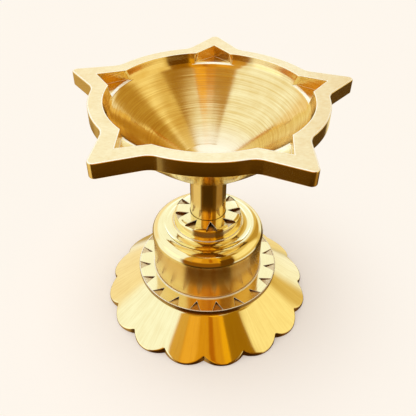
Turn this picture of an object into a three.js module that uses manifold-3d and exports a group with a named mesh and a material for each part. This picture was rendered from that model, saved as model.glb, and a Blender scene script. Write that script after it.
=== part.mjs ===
// Pedestal oil lamp in turned brass: a five-pointed bowl with a wick pocket in each point, on a
// round stem, a notched collar, a drum and a scalloped foot. One long bolt from below draws the
// whole stack together, and unscrewing it lets the bowl off.
// Millimetres, +Z up. The lamp stands on z = 0, and the origin is under the middle of its
// bounding box. One point of the star looks along +Y.

import * as THREE from 'three';
import * as BufferGeometryUtils from 'three/addons/utils/BufferGeometryUtils.js';
import Module from 'manifold-3d';

const wasm = await Module();
wasm.setup();

const FULL_TURN = 2 * Math.PI;
const degrees = (value) => THREE.MathUtils.degToRad(value);

// Heights of the stack, from the floor up
const footHeight = 13.0;
const ringThickness = 2.15;
const drumHeight = 20.35;
const collarHeight = 5.75;
const stemShown = 15.95;
const bowlDepth = 26.05;
const plateThickness = 4.95;

// Star plate
const points = 5;
const plateRadius = 38.2;
const pointLength = 11.8;
const pointHalfAngle = degrees(33);
const pointRounding = 1.8;
const pointRootFillet = 6.5;
const rimWidth = 4.8;

// Wick pockets
const pocketLength = 7.3;
const pocketHalfAngle = degrees(36);
const pocketDepth = 3.8;
const pocketMouth = 2.4;

// Bowl below the plate
const bowlTopInset = 2.2;
const bowlCurve = 150;
const bowlWall = 3.6;
const cupFloor = 4.8;

// Stem, and the spigot under the bowl that drops into it
const stemRadius = 6.6;
const stemSeatDepth = 3.75;
const spigotRadius = 4.6;
const spigotLength = 6.0;

// Notched collar
const collarTopRadius = 12.6;
const collarWallRadius = 13.0;
const collarStepRadius = 13.35;
const collarBaseRadius = 15.3;
const collarCoveHeight = 1.25;
const collarEdge = 0.45;
const collarSpigotRadius = 5.0;
const collarSpigotLength = 2.4;
const notches = 9;
const notchTurn = degrees(-80.8);
const notchInnerRadius = 7.45;
const notchOuterRadius = 12.15;
const notchHalfWidth = 1.95;
const notchDepth = 0.9;

// Drum
const drumRadius = 21.1;
const drumWall = 3.0;
const shoulderReach = 5.5;
const shoulderHeight = 4.25;
const drumSpigotWall = 1.5;
const drumSpigotDepth = 1.45;

// Foot ring between the drum and the skirt
const ringRadius = 27.55;
const ringEdge = 0.25;
const beadRadius = 21.6;
const beadCrestRadius = 21.45;
const beadHeight = 0.35;
const marks = 20;
const markTurn = degrees(-7);
const markInnerRadius = 22.9;
const markOuterRadius = 27.0;
const markHalfWidth = 1.75;
const markDepth = 0.6;

// Scalloped skirt
const lobes = 16;
const lobeTurn = degrees(1);
const lobeRadius = 40.8;
const cuspRadius = 38.1;
const rimHeight = 1.05;
const skirtTopRadius = 25.5;
const skirtWeb = 4.0;
const skirtWall = 2.6;
const footRim = 2.0;

// Washers and tie bolt under the foot
const washerRadius = 6.0;
const washerThickness = 1.2;
const springWasherRadius = 5.3;
const springWasherThickness = 1.5;
const springWasherGap = 1.6;
const headAcrossFlats = 10;
const headHeight = 4.0;
const headChamfer = 0.6;
const boltRadius = 2.95;
const threadPitch = 1.0;
const threadDepth = 0.53;
const boltThreadTurns = 10;
const threadEngagement = 7.0;
const threadRootFlat = 0.15;
const threadCrestWidth = 0.2;
const threadSunk = 0.05;
const tapEndClearance = 0.6;

// Clearances
const slipFit = 0.15;
const boltClearance = 0.35;
const threadClearance = 0.2;
const threadFlankClearance = 0.14;
const cutPast = 0.2;

// How finely round things are divided
const turnedSides = 56;
const bowlSides = 60;
const skirtSides = 80;
const boltSides = 24;
const threadStepsPerTurn = 12;

// Levels worked out from the stack
const ringTop = footHeight + ringThickness;
const drumTop = ringTop + drumHeight;
const collarTop = drumTop + collarHeight;
const bowlSeat = collarTop + stemShown;
const plateBottom = bowlSeat + bowlDepth;
const plateTop = plateBottom + plateThickness;
const pocketFloor = plateTop - pocketDepth;
const cupFloorLevel = bowlSeat + cupFloor;
const webBottom = footHeight - skirtWeb;
const washerBottom = webBottom - washerThickness;
const headTop = washerBottom - springWasherThickness;
const boltTip = bowlSeat - spigotLength + threadEngagement;
const stemBottom = collarTop - stemSeatDepth;

// Radii worked out from what they fit
const rimRadius = plateRadius - rimWidth;
const pocketReach = rimRadius + pocketLength;
const bowlTopRadius = plateRadius - bowlTopInset;
const drumBoreRadius = drumRadius - drumWall;
const drumSpigotRadius = drumBoreRadius + drumSpigotWall;
const neckRadius = drumSpigotRadius + slipFit;
const boltHoleRadius = boltRadius + boltClearance;
const boltRootRadius = boltRadius - threadDepth;
const threadRootWidth = threadPitch - threadRootFlat;

// Helpers that turn shapes into solids

function solid(geometry) {
  const bare = geometry.clone();
  bare.deleteAttribute('normal');
  bare.deleteAttribute('uv');
  const merged = BufferGeometryUtils.mergeVertices(bare, 1e-4);
  const corners = merged.index.array;
  const kept = [];
  for (let i = 0; i < corners.length; i += 3) {
    const [a, b, c] = corners.slice(i, i + 3);
    if (a !== b && b !== c && c !== a) kept.push(a, b, c);
  }
  return new wasm.Manifold(new wasm.Mesh({
    numProp: 3,
    vertProperties: merged.attributes.position.array,
    triVerts: Uint32Array.from(kept),
  }));
}

function geometryOf(body) {
  const mesh = body.getMesh();
  const geometry = new THREE.BufferGeometry();
  geometry.setAttribute('position', new THREE.BufferAttribute(mesh.vertProperties, 3));
  geometry.setIndex(new THREE.BufferAttribute(mesh.triVerts, 1));
  geometry.computeVertexNormals();
  return geometry;
}

// A solid of revolution about Z from its outline, a list of [radius, height] pairs that runs
// up the outside, from the axis to the axis
function turned(outline, sides = turnedSides) {
  const profile = outline.map(([radius, height]) => new THREE.Vector2(radius, height));
  return solid(new THREE.LatheGeometry(profile, sides).rotateX(Math.PI / 2));
}

// The same for a ring, whose outline closes on itself
function turnedRing(outline, sides = turnedSides) {
  return turned([...outline, outline[0]], sides);
}

function cylinder(radius, bottom, top, sides = turnedSides) {
  return turned([[0, bottom], [radius, bottom], [radius, top], [0, top]], sides);
}

function extruded(shape, bottom, top) {
  const settings = { depth: top - bottom, bevelEnabled: false };
  return solid(new THREE.ExtrudeGeometry(shape, settings).translate(0, 0, bottom));
}

function arcPoints(centre, radius, from, to, steps) {
  const list = [];
  for (let i = 0; i <= steps; i += 1) {
    const angle = from + ((to - from) * i) / steps;
    list.push(new THREE.Vector2(
      centre.x + radius * Math.cos(angle),
      centre.y + radius * Math.sin(angle),
    ));
  }
  return list;
}

function turnedBy(list, angle) {
  return list.map((point) => point.clone().rotateAround(new THREE.Vector2(), angle));
}

// A three-sided pit with its sharp end towards the axis, as a graver leaves it. A three-sided
// cone of radius 1 reaches 1 to its corner and half of that to its opposite side.
function gravedPit(innerRadius, outerRadius, halfWidth, depth, surface) {
  const toCorner = 1;
  const toSide = Math.cos(FULL_TURN / 6);
  const toEnds = Math.sin(FULL_TURN / 6);
  const grow = (depth + cutPast) / depth;
  const stretch = (outerRadius - innerRadius) / (toCorner + toSide);
  const cone = new THREE.ConeGeometry(toCorner, 1, 3).rotateX(-Math.PI / 2).rotateZ(Math.PI / 2);
  cone.scale(grow * stretch, (grow * halfWidth) / toEnds, grow * depth);
  cone.translate(innerRadius + stretch, 0, surface - (depth - cutPast) / 2);
  return cone;
}

function cutPitsInto(body, pit, count, turn) {
  let cut = body;
  for (let i = 0; i < count; i += 1) {
    cut = cut.subtract(solid(pit.clone().rotateZ(turn + (i * FULL_TURN) / count)));
  }
  return cut;
}

// A screw thread's ridge: a turned strip whose steps are then wound on about the axis as they
// rise from height bottom. It grows from nothing over its first quarter turn and fades over its
// last.
function threadRidge(rootRadius, crestRadius, rootWidth, crestWidth, bottom, turns) {
  const section = [
    new THREE.Vector2(rootRadius, -rootWidth / 2),
    new THREE.Vector2(crestRadius, -crestWidth / 2),
    new THREE.Vector2(crestRadius, crestWidth / 2),
    new THREE.Vector2(rootRadius, rootWidth / 2),
  ];
  section.push(section[0]);
  const steps = Math.round(turns * threadStepsPerTurn);
  const fade = threadStepsPerTurn / 4;
  const strip = new THREE.LatheGeometry(section, steps);
  for (let step = 0; step <= steps; step += 1) {
    const turn = step / threadStepsPerTurn;
    const size = Math.min(1, step / fade, (steps - step) / fade);
    section.forEach((corner, i) => {
      const radius = rootRadius + (corner.x - rootRadius) * size;
      strip.attributes.position.setXYZ(
        step * section.length + i,
        radius * Math.sin(turn * FULL_TURN),
        bottom + turn * threadPitch + corner.y * size,
        radius * Math.cos(turn * FULL_TURN),
      );
    });
  }
  return solid(strip.rotateX(Math.PI / 2));
}

// Star bowl

// One point of the star, seen from above and looking along +X: the fillet at its root, its
// straight side, its rounded tip, and the same again, from one plate arc to the next
function starPoint() {
  const sine = Math.sin(pointHalfAngle);
  const cosine = Math.cos(pointHalfAngle);
  const tipCentre = new THREE.Vector2(plateRadius + pointLength - pointRounding, 0);
  const apex = tipCentre.x + pointRounding / sine;
  // The fillet's centre is one fillet radius outside both the side and the plate's circle
  const start = new THREE.Vector2(apex + pointRootFillet * sine, pointRootFillet * cosine);
  const along = start.x * cosine;
  const across = start.y * sine;
  const reach = plateRadius + pointRootFillet;
  const half = along - across;
  const travel = half - Math.sqrt(half * half - start.lengthSq() + reach * reach);
  const root = new THREE.Vector2(start.x - travel * cosine, start.y + travel * sine);
  const rootAngle = Math.atan2(root.y, root.x);
  const sideAngle = Math.PI / 2 - pointHalfAngle;
  const lowerRoot = new THREE.Vector2(root.x, -root.y);
  return {
    rootAngle,
    outline: [
      ...arcPoints(lowerRoot, pointRootFillet, Math.PI - rootAngle, Math.PI - sideAngle, 4),
      ...arcPoints(tipCentre, pointRounding, -sideAngle, sideAngle, 5),
      ...arcPoints(root, pointRootFillet, Math.PI + sideAngle, Math.PI + rootAngle, 4),
    ],
  };
}

function starShape() {
  const { rootAngle, outline } = starPoint();
  const spacing = FULL_TURN / points;
  const plateArc = arcPoints(new THREE.Vector2(), plateRadius, rootAngle, spacing - rootAngle, 8);
  const corner = [...outline, ...plateArc.slice(1, -1)];
  const all = [];
  for (let i = 0; i < points; i += 1) {
    all.push(...turnedBy(corner, Math.PI / 2 + i * spacing));
  }
  return new THREE.Shape(all);
}

// The bowl's wall lies between two arcs about one centre. This gives that centre from the two
// ends of the outer arc, at the stem and under the plate.
function bowlCentre() {
  const low = new THREE.Vector2(stemRadius, bowlSeat);
  const high = new THREE.Vector2(bowlTopRadius, plateBottom);
  const chord = high.clone().sub(low);
  const away = Math.sqrt(bowlCurve ** 2 - chord.lengthSq() / 4);
  const normal = new THREE.Vector2(-chord.y, chord.x).normalize();
  return low.add(high).multiplyScalar(0.5).addScaledVector(normal, away);
}

function bowlArc(centre, radius, lowLevel, highLevel, steps) {
  const from = Math.asin((lowLevel - centre.y) / radius);
  const to = Math.asin((highLevel - centre.y) / radius);
  return arcPoints(centre, radius, from, to, steps).map((point) => [point.x, point.y]);
}

function bowlOutside(centre) {
  return turned([
    [0, bowlSeat - spigotLength],
    [spigotRadius, bowlSeat - spigotLength],
    [spigotRadius, bowlSeat],
    ...bowlArc(centre, bowlCurve, bowlSeat, plateBottom, 6),
    [bowlTopRadius, plateBottom + plateThickness / 2],
    [0, plateBottom + plateThickness / 2],
  ], bowlSides);
}

// The cavity: a flat floor, the turned cone, and above the pocket floors a short cast band
function bowlCavity(centre) {
  return turned([
    [0, cupFloorLevel],
    ...bowlArc(centre, bowlCurve - bowlWall, cupFloorLevel, pocketFloor, 6),
    [rimRadius, plateTop],
    [rimRadius, plateTop + cutPast],
    [0, plateTop + cutPast],
  ], bowlSides);
}

function wickPocket() {
  const inner = rimRadius - pocketMouth;
  const halfWidth = (pocketReach - inner) * Math.tan(pocketHalfAngle);
  return new THREE.Shape([
    new THREE.Vector2(pocketReach, 0),
    new THREE.Vector2(inner, halfWidth),
    new THREE.Vector2(inner, -halfWidth),
  ]);
}

// The tapped hole follows the bolt's own thread, wider by the clearances
function tappedHole(bolt) {
  const mouth = bowlSeat - spigotLength;
  const end = boltTip + tapEndClearance;
  const boreRadius = boltRootRadius + threadClearance;
  const slope = (threadRootWidth - threadCrestWidth) / (boltRadius - boltRootRadius);
  const widthAt = (radius) => threadRootWidth - (radius - boltRootRadius) * slope
    + 2 * threadFlankClearance;
  const inside = boreRadius - threadSunk;
  const outside = boltRadius + threadClearance;
  const skipped = Math.floor((mouth - bolt.threadStart) / threadPitch) - 1;
  const start = bolt.threadStart + skipped * threadPitch;
  const turns = Math.floor((end - start) / threadPitch);
  const ridge = threadRidge(inside, outside, widthAt(inside), widthAt(outside), start, turns);
  return cylinder(boreRadius, mouth - cutPast, end, boltSides).add(ridge);
}

function starBowl(bolt) {
  const centre = bowlCentre();
  let bowl = extruded(starShape(), plateBottom, plateTop).add(bowlOutside(centre));
  bowl = bowl.subtract(bowlCavity(centre));
  const pocket = extruded(wickPocket(), pocketFloor, plateTop + cutPast);
  for (let i = 0; i < points; i += 1) {
    bowl = bowl.subtract(pocket.rotate([0, 0, 90 + (i * 360) / points]));
  }
  return bowl.subtract(tappedHole(bolt));
}

// Stem: a tube with a counterbore for the bowl's spigot
function stem() {
  const counterbore = bowlSeat - spigotLength - slipFit;
  return turnedRing([
    [boltHoleRadius, stemBottom],
    [stemRadius, stemBottom],
    [stemRadius, bowlSeat],
    [spigotRadius + slipFit, bowlSeat],
    [spigotRadius + slipFit, counterbore],
    [boltHoleRadius, counterbore],
  ]);
}

// A quarter of an ellipse, from its widest point at the given radius up to its top
function shoulderArc(reach, height, radius, top, steps) {
  return arcPoints(new THREE.Vector2(), 1, 0, Math.PI / 2, steps).map((point) => [
    radius - reach + reach * point.x,
    top - height + height * point.y,
  ]);
}

// Collar: two steps outside, a seat for the stem inside, a spigot below, and graved notches
function notchedCollar() {
  const stepLevel = drumTop + collarCoveHeight;
  const coveWidth = collarBaseRadius - collarStepRadius;
  const cove = arcPoints(new THREE.Vector2(), 1, -Math.PI / 2, -Math.PI, 4).map((point) => [
    collarBaseRadius + coveWidth * point.x,
    stepLevel + collarCoveHeight * point.y,
  ]);
  const body = turnedRing([
    [boltHoleRadius, drumTop - collarSpigotLength],
    [collarSpigotRadius, drumTop - collarSpigotLength],
    [collarSpigotRadius, drumTop],
    ...cove,
    [collarWallRadius, stepLevel],
    [collarTopRadius, collarTop - collarEdge],
    [collarTopRadius - collarEdge, collarTop],
    [stemRadius + slipFit, collarTop],
    [stemRadius + slipFit, stemBottom],
    [boltHoleRadius, stemBottom],
  ]);
  const pit = gravedPit(notchInnerRadius, notchOuterRadius, notchHalfWidth, notchDepth, collarTop);
  return cutPitsInto(body, pit, notches, notchTurn);
}

// Drum: an upturned cup with a rounded shoulder, whose spigot locates the ring and the skirt
function drumBody() {
  const holeRadius = collarSpigotRadius + slipFit;
  const capUnderside = drumTop - drumWall;
  const inside = shoulderArc(shoulderReach, shoulderHeight, drumBoreRadius, capUnderside, 3);
  const spigotEnd = footHeight - drumSpigotDepth;
  return turnedRing([
    [drumBoreRadius, spigotEnd],
    [drumSpigotRadius, spigotEnd],
    [drumSpigotRadius, ringTop],
    [drumRadius, ringTop],
    ...shoulderArc(shoulderReach, shoulderHeight, drumRadius, drumTop, 6),
    [holeRadius, drumTop],
    [holeRadius, capUnderside],
    ...inside.reverse(),
  ]);
}

// Foot ring: a flat ring with a fine bead round the drum and a row of graved marks
function footRing() {
  const body = turnedRing([
    [neckRadius, footHeight],
    [ringRadius, footHeight],
    [ringRadius, ringTop - ringEdge],
    [ringRadius - ringEdge, ringTop],
    [beadRadius, ringTop],
    [beadCrestRadius, ringTop + beadHeight],
    [drumRadius + slipFit, ringTop + beadHeight],
    [drumRadius + slipFit, ringTop],
    [neckRadius, ringTop],
  ]);
  const pit = gravedPit(markInnerRadius, markOuterRadius, markHalfWidth, markDepth, ringTop);
  return cutPitsInto(body, pit, marks, markTurn);
}

// The skirt's edge from above: round lobes that meet in cusps
function skirtOutline() {
  const halfStep = Math.PI / lobes;
  const chord = 2 * cuspRadius * Math.sin(halfStep);
  const rise = lobeRadius - cuspRadius * Math.cos(halfStep);
  const radius = (chord * chord) / (8 * rise) + rise / 2;
  const centre = new THREE.Vector2(lobeRadius - radius, 0);
  const halfArc = Math.asin(chord / 2 / radius);
  const lobe = arcPoints(centre, radius, -halfArc, halfArc, 7).slice(0, -1);
  const all = [];
  for (let i = 0; i < lobes; i += 1) {
    all.push(...turnedBy(lobe, -Math.PI / 2 + lobeTurn + (2 * i + 1) * halfStep));
  }
  return new THREE.Shape(all);
}

// Skirt: a hollow cone cut to that edge, closed above by a web with a recess for the drum's
// spigot and a hole for the bolt
function scallopedSkirt() {
  const slope = (footHeight - rimHeight) / (lobeRadius - skirtTopRadius);
  const skirtBottomRadius = lobeRadius + (rimHeight + cutPast) / slope;
  const cone = turned([
    [0, -cutPast],
    [skirtBottomRadius, -cutPast],
    [skirtTopRadius, footHeight],
    [0, footHeight],
  ], skirtSides);
  const insideBottomRadius = cuspRadius * Math.cos(Math.PI / lobes) - footRim;
  const setBack = skirtWall / Math.sin(Math.atan(slope));
  const webRadius = skirtTopRadius + skirtWeb / slope - setBack;
  const recessFloor = footHeight - drumSpigotDepth - slipFit;
  const hollow = turned([
    [0, -2 * cutPast],
    [insideBottomRadius, -2 * cutPast],
    [insideBottomRadius, webBottom - (insideBottomRadius - webRadius) * slope],
    [webRadius, webBottom],
    [boltHoleRadius, webBottom],
    [boltHoleRadius, recessFloor],
    [neckRadius, recessFloor],
    [neckRadius, footHeight + cutPast],
    [0, footHeight + cutPast],
  ], skirtSides);
  return cone.intersect(extruded(skirtOutline(), 0, footHeight + cutPast)).subtract(hollow);
}

function flatWasher() {
  return turnedRing([
    [boltHoleRadius, washerBottom],
    [washerRadius, washerBottom],
    [washerRadius, webBottom],
    [boltHoleRadius, webBottom],
  ], boltSides);
}

function springWasher() {
  const outerAngle = Math.asin(springWasherGap / 2 / springWasherRadius);
  const innerAngle = Math.asin(springWasherGap / 2 / boltHoleRadius);
  const middle = new THREE.Vector2();
  return extruded(new THREE.Shape([
    ...arcPoints(middle, springWasherRadius, outerAngle, FULL_TURN - outerAngle, 30),
    ...arcPoints(middle, boltHoleRadius, FULL_TURN - innerAngle, innerAngle, 24),
  ]), headTop, washerBottom);
}

// Tie bolt: a hexagon head, a plain shank and a right-hand thread up to the bowl
function tieBolt(bolt) {
  const cornerRadius = headAcrossFlats / 2 / Math.cos(Math.PI / 6);
  const headBottom = headTop - headHeight;
  const hexagon = solid(new THREE.CylinderGeometry(cornerRadius, cornerRadius, headHeight, 6)
    .rotateX(Math.PI / 2)
    .translate(0, 0, (headTop + headBottom) / 2));
  const chamfer = turned([
    [0, headBottom],
    [cornerRadius - headChamfer, headBottom],
    [cornerRadius + cutPast, headBottom + (headChamfer + cutPast) * Math.tan(Math.PI / 6)],
    [cornerRadius + cutPast, headTop],
    [0, headTop],
  ], boltSides);
  const lead = boltRadius - boltRootRadius;
  const shank = turned([
    [0, headTop - headHeight / 2],
    [boltRadius, headTop - headHeight / 2],
    [boltRadius, bolt.threadStart - lead],
    [boltRootRadius, bolt.threadStart],
    [boltRootRadius, boltTip - lead],
    [boltRootRadius - lead, boltTip],
    [0, boltTip],
  ], boltSides);
  const slope = (threadRootWidth - threadCrestWidth) / lead;
  const ridge = threadRidge(
    boltRootRadius - threadSunk,
    boltRadius,
    threadRootWidth + threadSunk * slope,
    threadCrestWidth,
    bolt.threadStart,
    boltThreadTurns - 1,
  );
  return hexagon.intersect(chamfer).add(shank).add(ridge);
}

// Finishes
const satinBrass = { color: 0xe2c48a, roughness: 0.42, metalness: 1 };
const polishedBrass = { color: 0xd9a441, roughness: 0.14, metalness: 1 };
const brushedBrass = { color: 0xd2a04c, roughness: 0.34, metalness: 1 };
const platedSteel = { color: 0xb9bcc0, roughness: 0.35, metalness: 1 };

const lamp = new THREE.Group();
// The star reaches further back than forward, so its bounding box is not centred on the stem
const tipCircle = plateRadius + pointLength - pointRounding;
lamp.position.y = -(tipCircle * (1 - Math.cos(Math.PI / points))) / 2;

function addPart(name, body, finish) {
  const mesh = new THREE.Mesh(geometryOf(body), new THREE.MeshStandardMaterial(finish));
  mesh.name = name;
  lamp.add(mesh);
}

const bolt = { threadStart: boltTip - boltThreadTurns * threadPitch };
addPart('star_bowl', starBowl(bolt), satinBrass);
addPart('stem', stem(), brushedBrass);
addPart('notched_collar', notchedCollar(), polishedBrass);
addPart('drum_body', drumBody(), polishedBrass);
addPart('foot_ring', footRing(), polishedBrass);
addPart('scalloped_skirt', scallopedSkirt(), polishedBrass);
addPart('flat_washer', flatWasher(), platedSteel);
addPart('spring_washer', springWasher(), platedSteel);
addPart('tie_bolt', tieBolt(bolt), platedSteel);

export default lamp;
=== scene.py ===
"""A pedestal oil lamp in brass: star bowl, stem, notched collar, drum, foot ring and skirt.

Each sub-assembly is a class with its sizes in millimetres. Its surface is a set of rings about
the lamp's axis, in the CAD model's own frame, and takes the place of the faceted CAD node.
"""

import logging
import math
from dataclasses import dataclass, field
from enum import Enum

import bmesh
import bpy
from mathutils import Matrix, Vector


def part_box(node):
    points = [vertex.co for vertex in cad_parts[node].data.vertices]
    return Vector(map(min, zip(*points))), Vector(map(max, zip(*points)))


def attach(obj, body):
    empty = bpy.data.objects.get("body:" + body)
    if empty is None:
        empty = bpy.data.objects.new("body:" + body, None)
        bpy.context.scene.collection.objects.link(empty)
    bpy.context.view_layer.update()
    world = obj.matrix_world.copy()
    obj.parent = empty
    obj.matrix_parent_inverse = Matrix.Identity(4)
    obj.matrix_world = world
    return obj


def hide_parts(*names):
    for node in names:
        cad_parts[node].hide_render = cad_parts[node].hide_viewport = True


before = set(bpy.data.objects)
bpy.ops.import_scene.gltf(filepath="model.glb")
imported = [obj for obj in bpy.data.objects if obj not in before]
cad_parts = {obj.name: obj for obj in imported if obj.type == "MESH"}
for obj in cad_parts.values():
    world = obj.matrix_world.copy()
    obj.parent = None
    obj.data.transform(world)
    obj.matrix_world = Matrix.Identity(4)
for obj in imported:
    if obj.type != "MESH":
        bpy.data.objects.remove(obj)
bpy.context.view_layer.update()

MM = 0.001
FULL_TURN = 2 * math.pi
FINISH = "finish"
POINTS = 5
DOUBLED = 1e-6
SEAM = 2e-6
SENSOR = 36.0
LOG = logging.getLogger("oil_lamp")

Point = tuple[float, float, float]
Knot = tuple[float, float, int]
Colour = tuple[float, float, float]
Socket = bpy.types.NodeSocket
NodeGroup = bpy.types.GeometryNodeTree


def lamp_axis() -> Vector:
    """The point on the ground, in metres, that the lamp's turned axis stands on."""
    low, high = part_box("stem")
    return Vector(((low.x + high.x) / 2, (low.y + high.y) / 2, 0))


AXIS = lamp_axis()


class Finish(Enum):
    """The finishes of the lamp's surfaces. A face's value says which of them it has."""

    LAPPED = 0
    TURNED = 1
    EDGE = 2
    CAST = 3
    POLISHED = 4
    BUFFED = 5
    GRAVED = 6
    SATIN = 7
    PLATED = 8
    # Near-black brass on the walls of graved pits: painted shade.
    CUT = 9
    MILLED = 10
    # Pale, partly unmetallic brass along edges and rims: a painted highlight.
    WORN = 11
    DRAWN = 12
    # Dark brown brass at the collar's seam and on the outer sides of the ring and the lobes: painted
    # shade.
    AGED = 13


class Grain(Enum):
    """Which way the marks of a finish run."""

    ROUND = "round"
    OUTWARD = "outward"
    ALL_WAYS = "all ways"


# Outlines and rings


def toward(angle: float) -> Vector:
    """The flat direction at an angle."""
    return Vector((math.cos(angle), math.sin(angle)))


def polar(radius: float, angle: float, height: float) -> Point:
    """The point at a radius, an angle and a height."""
    return (radius * math.cos(angle), radius * math.sin(angle), height)


def divided(start: Vector, end: Vector, step: float) -> list[tuple[float, float]]:
    """The knots of a stretch without its end, no further apart than step."""
    count = math.ceil((end - start).length / step)
    return [tuple(start.lerp(end, k / count)) for k in range(count)]


@dataclass(frozen=True)
class Corner:
    """A corner of a turned outline.

    Attributes:
        radius: distance from the axis.
        height: height above the ground.
        rounding: radius of the rounding at this corner.
        finish: finish of the stretch that arrives here.
    """

    radius: float
    height: float
    rounding: float = 0.0
    finish: Finish = Finish.POLISHED


def rounded(corners: list[Corner], step: float = 4.0, closed: bool = True) -> list[Knot]:
    """Rounds an outline's corners and divides its long stretches.

    Args:
        corners: the outline, corner by corner.
        step: the longest stretch between two knots.
        closed: whether the last corner joins the first.

    Returns:
        The knots: radius, height and finish.
    """
    count = len(corners)
    knots: list[Knot] = []
    for i, corner in enumerate(corners):
        here = Vector((corner.radius, corner.height))
        ends = not closed and i in (0, count - 1)
        if corner.rounding <= 0 or ends:
            arc = [here]
        else:
            before = corners[i - 1]
            after = corners[(i + 1) % count]
            arc = corner_arc(
                Vector((before.radius, before.height)),
                here,
                Vector((after.radius, after.height)),
                corner.rounding,
            )
        if knots:
            last = Vector(knots[-1][:2])
            pieces = max(1, math.ceil((arc[0] - last).length / step))
            for k in range(1, pieces):
                between = last.lerp(arc[0], k / pieces)
                knots.append((between.x, between.y, corner.finish.value))
        knots += [(point.x, point.y, corner.finish.value) for point in arc]
    return knots


def corner_arc(before: Vector, here: Vector, after: Vector, radius: float) -> list[Vector]:
    """The points of the arc that rounds one corner.

    Args:
        before: the corner before.
        here: the corner to round.
        after: the corner after.
        radius: the rounding, which is limited by the two stretches that meet here.

    Returns:
        The points, from the stretch that arrives to the one that leaves.
    """
    back = before - here
    onward = after - here
    half = back.angle(onward) / 2
    most = 0.45 * min(back.length, onward.length)
    reach = min(radius / math.tan(half), most)
    radius = reach * math.tan(half)
    back.normalize()
    onward.normalize()
    centre = here + (back + onward).normalized() * (radius / math.sin(half))
    start = here + back * reach - centre
    end = here + onward * reach - centre
    turn = start.angle_signed(end)
    steps = max(2, math.ceil(abs(turn) / math.radians(18)))
    points = []
    for k in range(steps + 1):
        angle = -turn * k / steps
        cosine, sine = math.cos(angle), math.sin(angle)
        points.append(centre + Vector((start.x * cosine - start.y * sine,
                                       start.x * sine + start.y * cosine)))
    return points


@dataclass
class Rings:
    """Rings of points about the axis, each joined to the next.

    Attributes:
        whole: whether each ring closes on itself, or is one sector of a round piece.
        closed: whether the last ring joins the first.
        rings: the points of each ring, in millimetres from the axis and the ground.
        finishes: the finish of the band that leads to each ring.
    """

    whole: bool = True
    closed: bool = True
    rings: list[list[Point]] = field(default_factory=list)
    finishes: list[list[int]] = field(default_factory=list)

    def add(self, points: list[Point], finish: int | list[int]) -> None:
        """Adds a ring, and the finish or finishes of the band that leads to it."""
        self.rings.append(points)
        self.finishes.append(finish if isinstance(finish, list) else [finish] * len(points))

    def mesh(self, name: str) -> bpy.types.Mesh:
        """Joins the rings into a mesh whose faces carry their finish.

        Args:
            name: the mesh's name.

        Returns:
            The mesh, in metres, about the axis.
        """
        width = len(self.rings[0])
        across = width if self.whole else width - 1
        along = len(self.rings) if self.closed else len(self.rings) - 1
        faces = []
        finishes = []
        for i in range(along):
            here = i * width
            there = ((i + 1) % len(self.rings)) * width
            band = self.finishes[(i + 1) % len(self.rings)]
            for j in range(across):
                k = (j + 1) % width
                faces.append((here + j, here + k, there + k, there + j))
                finishes.append(band[j])
        made = bpy.data.meshes.new(name)
        points = [tuple(MM * value for value in point) for ring in self.rings for point in ring]
        made.from_pydata(points, [], faces)
        made.attributes.new(FINISH, "INT", "FACE").data.foreach_set("value", finishes)
        weld(made)
        return made


def round_ring(radius: float, height: float, columns: int) -> list[Point]:
    """The points of a round ring."""
    return [polar(radius, FULL_TURN * i / columns, height) for i in range(columns)]


def weld(mesh: bpy.types.Mesh) -> None:
    """Merges a mesh's doubled points, which also closes its poles.

    Args:
        mesh: the mesh, which is changed in place.
    """
    work = bmesh.new()
    work.from_mesh(mesh)
    bmesh.ops.remove_doubles(work, verts=work.verts, dist=DOUBLED)
    bmesh.ops.dissolve_degenerate(work, edges=work.edges, dist=DOUBLED)
    work.to_mesh(mesh)
    work.free()


def lathe(name: str, knots: list[Knot], columns: int) -> bpy.types.Mesh:
    """Turns an outline about the axis.

    Args:
        name: the mesh's name.
        knots: the closed outline, which runs up the outside.
        columns: how many points each ring has.

    Returns:
        The mesh, in metres, about the axis.
    """
    rings = Rings()
    for radius, height, finish in knots:
        rings.add(round_ring(radius, height, columns), finish)
    return rings.mesh(name)


# Geometry Nodes


class Nodes:
    """A node tree in the making, for geometry, a material or the world."""

    def __init__(self, tree: bpy.types.NodeTree) -> None:
        """Starts from a tree."""
        self.tree = tree

    def node(self, kind: str, inputs: dict | None = None, **settings) -> bpy.types.Node:
        """Adds a node.

        Args:
            kind: the node's type.
            inputs: for each input, by name or number, a socket to link or a value to set.
            **settings: the node's own settings.

        Returns:
            The node.
        """
        made = self.tree.nodes.new(kind)
        for key, value in settings.items():
            setattr(made, key, value)
        for key, value in (inputs or {}).items():
            if isinstance(value, Socket):
                self.tree.links.new(value, made.inputs[key])
            else:
                made.inputs[key].default_value = value
        return made

    def math(self, operation: str, a: object, b: object = 0.0,
             c: object = 0.0) -> Socket:
        """Adds a math node on sockets or numbers, and returns its result."""
        return self.node("ShaderNodeMath", {0: a, 1: b, 2: c}, operation=operation).outputs[0]

    def vector(self, operation: str, a: object, b: object = (0, 0, 0)) -> bpy.types.Node:
        """Adds a vector math node on sockets or vectors."""
        return self.node("ShaderNodeVectorMath", {0: a, 1: b}, operation=operation)

    def mix(self, factor: object, a: object, b: object) -> Socket:
        """Mixes two colours."""
        made = self.node("ShaderNodeMix", {"Factor": factor, 6: a, 7: b}, data_type="RGBA")
        return made.outputs[2]


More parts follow.
